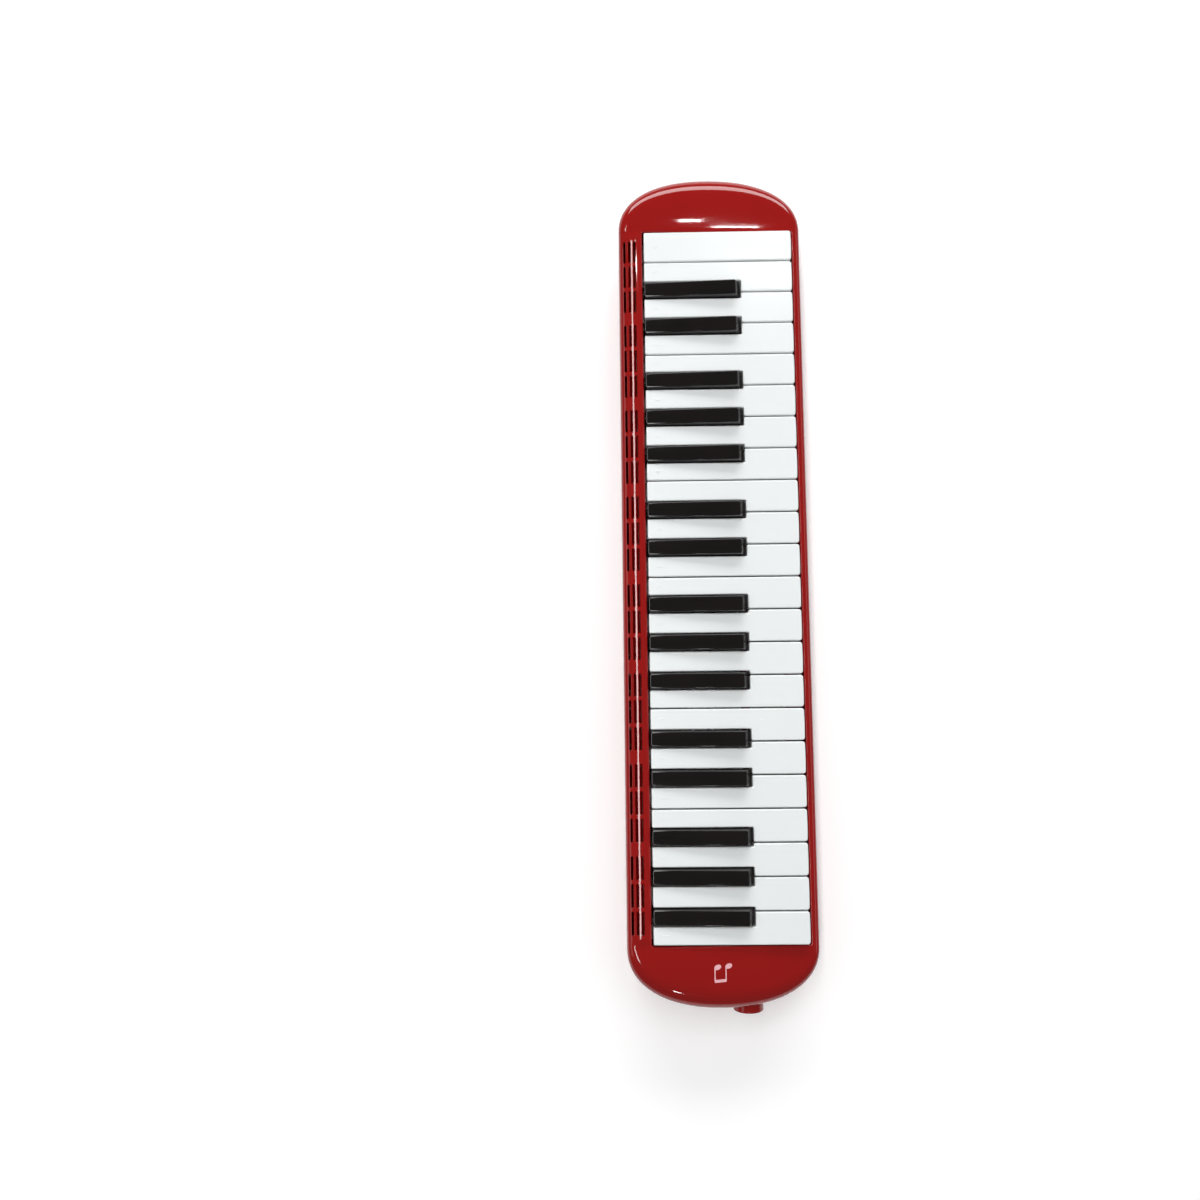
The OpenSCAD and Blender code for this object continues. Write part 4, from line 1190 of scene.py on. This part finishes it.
class MELODICA_OT_printed_mark(bpy.types.Operator):
    """A plain beamed note printed on the bass end of the case"""
    bl_idname = "melodica.printed_mark"
    bl_label = "Printed mark"

    def execute(self, context):
        case = context.scene.melodica_case
        angle = np.linspace(0, 2 * np.pi, 24, endpoint=False)
        head = np.column_stack([1.25 * np.cos(angle), 0.85 * np.sin(angle)])
        cosine, sine = math.cos(0.4), math.sin(0.4)
        head = head @ np.array([[cosine, sine], [-sine, cosine]])
        strokes = [head + (-1.9, -2.3), head + (1.9, -1.9),
                   rounded(rectangle(-1.15, -0.75, -2.2, 2.6), 0.1),
                   rounded(rectangle(2.65, 3.05, -1.8, 3.0), 0.1),
                   rounded([(-1.1, 2.0), (3.0, 2.4), (3.0, 3.4), (-1.1, 3.0)], 0.1)]
        piece = None
        for stroke in strokes:
            outline = np.column_stack([-stroke[:, 1], stroke[:, 0]]) * MARK_SCALE + MARK_PLACE
            top = crown(outline, case)
            ink = loft([lift(outline, top - MARK_SINK), lift(outline, top + MARK_STAND)])
            shell = new_object("printed_note", ink)
            piece = shell if piece is None else combine(piece, shell, "UNION")
        piece.name = piece.data.name = "printed_note"
        dress(piece, finish("printed_mark"), "case")
        return {"FINISHED"}


# ---- what lies inside ------------------------------------------------------------------------

INSIDE = {
    "key_pivot_rod": "steel", "key_spring_comb": "steel", "drain_spring": "steel",
    "chamber_body": "chamber_plastic", "chamber_cover": "chamber_plastic",
    "chamber_gasket": "seal_rubber", "socket_seal_ring": "seal_rubber", "drain_valve_seal": "seal_rubber",
    "reed_plate_bass": "brass", "reed_plate_treble": "brass", "reeds": "brass",
    "key_rest_felt": "felt", "chamber_cover_screws": "screw_steel", "reed_plate_screws": "screw_steel",
}


class MELODICA_OT_inside_finishes(bpy.types.Operator):
    """Finishes for the CAD pieces inside the case"""
    bl_idname = "melodica.inside_finishes"
    bl_label = "Inside finishes"

    def execute(self, context):
        for node, name in INSIDE.items():
            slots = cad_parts[node].material_slots
            for slot in slots:
                slot.material = finish(name)
            if not slots:
                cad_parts[node].data.materials.append(finish(name))
        return {"FINISHED"}


# ---- stage ---------------------------------------------------------------------------------

class MelodicaColourSettings(bpy.types.PropertyGroup):
    """Colours of the main finishes."""
    red: FloatVectorProperty(
        name="Case red", description="Moulded case", subtype="COLOR", size=3, min=0, max=1,
        default=(0.29, 0.004, 0.003))
    white: FloatVectorProperty(
        name="Key white", description="White keys", subtype="COLOR", size=3, min=0, max=1,
        default=(0.86, 0.89, 0.89))
    black: FloatVectorProperty(
        name="Key black", description="Black keys", subtype="COLOR", size=3, min=0, max=1,
        default=(0.005, 0.003, 0.003))
    strap: FloatVectorProperty(
        name="Strap", description="Hand strap", subtype="COLOR", size=3, min=0, max=1,
        default=(0.86, 0.86, 0.85))
    print_ink: FloatVectorProperty(
        name="Print", description="Ink of the printed mark", subtype="COLOR", size=3, min=0, max=1,
        default=(0.86, 0.46, 0.5))


class MelodicaStageSettings(bpy.types.PropertyGroup):
    """Camera and lights."""
    lens: FloatProperty(name="Lens", description="Focal length", default=31.82, unit="CAMERA")
    key_power: FloatProperty(
        name="Key light", description="Power of the light beyond the treble end", default=62, unit="POWER")
    side_power: FloatProperty(
        name="Side lights", description="Power of each side light", default=11, unit="POWER")
    strip_power: FloatProperty(
        name="Strip light", description="Power of the long light overhead", default=8, unit="POWER")
    sky: FloatProperty(
        name="Sky", description="Strength of the even light from all round", default=0.2, min=0)


CAMERA_PLACE = (-0.06975, 0.05675, 0.6397)
CAMERA_LEAN = (-5.61, 0.98, -0.57)
SENSOR = 36
FLOOR_HALF = 3000

# Lamps of a fixed power: place and target in metres, length and width, watts
LAMPS = (
    ("cap_spot", (0.813, -0.167, 1.3), (0.21, 0, 0), (0.012, 0.037), 0.2),
    ("bass_spot", (-1.2, 0.03, 0.9), (0, 0, 0), (0.05, 0.05), 0.5),
    ("cap_panel", (0.742, -0.246, 1.3), (0.21, 0, 0), (0.03, 0.085), 0.6),
)


def camera_turn():
    """Rotation of the camera: it looks straight down with the treble end up, then leans by three small
    angles."""
    turn = np.eye(3)
    for angle, (i, j, sign) in zip(np.radians(CAMERA_LEAN), ((1, 2, 1), (0, 2, -1), (0, 1, 1))):
        step = np.eye(3)
        step[i, i] = step[j, j] = math.cos(angle)
        step[i, j], step[j, i] = -sign * math.sin(angle), sign * math.sin(angle)
        turn = turn @ step
    right, down, forward = turn @ np.array([[0, -1, 0], [-1, 0, 0], [0, 0, -1.0]])
    return Matrix(np.column_stack([right, -down, -forward]).tolist()).to_4x4()


def add_light(name, place, target, size, power):
    """A white rectangular area light that faces a target."""
    data = bpy.data.lights.new(name, "AREA")
    data.shape = "RECTANGLE"
    data.size, data.size_y = size
    data.energy = power
    light = bpy.data.objects.new(name, data)
    bpy.context.scene.collection.objects.link(light)
    back = unit(np.array(place, float) - np.array(target, float))
    side = unit(np.cross((0, 1, 0), back))
    turn = Matrix(np.column_stack([side, np.cross(back, side), back]).tolist()).to_4x4()
    light.matrix_world = Matrix.Translation(place) @ turn


class MELODICA_OT_stage(bpy.types.Operator):
    """Camera, lights and floor"""
    bl_idname = "melodica.stage"
    bl_label = "Stage"

    def execute(self, context):
        scene, stage = context.scene, context.scene.melodica_stage
        camera = bpy.data.objects.new("camera", bpy.data.cameras.new("camera"))
        scene.collection.objects.link(camera)
        camera.data.lens, camera.data.sensor_width = stage.lens, SENSOR
        camera.matrix_world = Matrix.Translation(CAMERA_PLACE) @ camera_turn()
        scene.camera = camera
        add_light("front_box", (0.2, -2.3, 2.0), (0, 0, 0), (3.0, 1.2), stage.side_power)
        add_light("rear_box", (0.0, 2.3, 1.9), (0, 0, 0), (3.0, 1.0), stage.side_power)
        add_light("treble_box", (2.6, -0.2, 1.25), (0, 0, 0), (0.9, 3.0), stage.key_power)
        add_light("strip", (0.1, 0.25, 1.3), (0.1, 0.25, 0), (1.5, 0.12), stage.strip_power)
        for lamp in LAMPS:
            add_light(*lamp)
        world = bpy.data.worlds.new("studio")
        world.use_nodes = True
        background = world.node_tree.nodes["Background"].inputs
        background["Strength"].default_value = stage.sky
        background["Color"].default_value = (1, 1, 1, 1)
        scene.world = world
        scene.view_settings.view_transform = "Standard"
        outline = np.array(rectangle(-FLOOR_HALF, FLOOR_HALF, -FLOOR_HALF, FLOOR_HALF), float)
        floor = new_object("floor", (lift(outline, 0), [np.arange(4)[None, :]]))
        paper = Finish("floor_paper", (0.96, 0.96, 0.96), 0.7, Emission_Strength=0.2)
        paper.shader.inputs["Emission Color"].default_value = (1, 1, 1, 1)
        paper.tint(paper.noise(3, 2), (0.95, 0.95, 0.95), (0.97, 0.97, 0.97))
        floor.data.materials.append(paper.material)
        return {"FINISHED"}


# ---- panel and registration ----------------------------------------------------------------

STEPS = (MELODICA_OT_stage, MELODICA_OT_inside_finishes, MELODICA_OT_upper_case, MELODICA_OT_lower_case,
         MELODICA_OT_white_keys, MELODICA_OT_black_keys, MELODICA_OT_air_parts, MELODICA_OT_screws,
         MELODICA_OT_hand_strap, MELODICA_OT_printed_mark)
SETTINGS = {"melodica_case": MelodicaCaseSettings, "melodica_keys": MelodicaKeySettings,
            "melodica_strap": MelodicaStrapSettings, "melodica_colours": MelodicaColourSettings,
            "melodica_stage": MelodicaStageSettings}


class MELODICA_PT_panel(bpy.types.Panel):
    """Settings and one button for each group of pieces"""
    bl_idname = "MELODICA_PT_panel"
    bl_label = "Melodica"
    bl_space_type = "VIEW_3D"
    bl_region_type = "UI"
    bl_category = "Melodica"

    def draw(self, context):
        for name, settings in SETTINGS.items():
            column = self.layout.box().column()
            column.label(text=settings.__doc__.rstrip("."))
            for field in settings.__annotations__:
                column.prop(getattr(context.scene, name), field)
        for step in STEPS:
            self.layout.operator(step.bl_idname)


def register():
    """Adds the settings, the operators and the panel."""
    for settings in SETTINGS.values():
        bpy.utils.register_class(settings)
    for name, settings in SETTINGS.items():
        setattr(bpy.types.Scene, name, PointerProperty(type=settings))
    for step in (*STEPS, MELODICA_PT_panel):
        bpy.utils.register_class(step)


def unregister():
    """Takes them away again."""
    for step in (MELODICA_PT_panel, *reversed(STEPS)):
        bpy.utils.unregister_class(step)
    for name in SETTINGS:
        delattr(bpy.types.Scene, name)
    for settings in SETTINGS.values():
        bpy.utils.unregister_class(settings)


def main():
    """Registers the classes and builds every piece in turn."""
    register()
    for step in STEPS:
        name = step.bl_idname.split(".")[1]
        getattr(bpy.ops.melodica, name)()


if __name__ == "__main__":
    main()
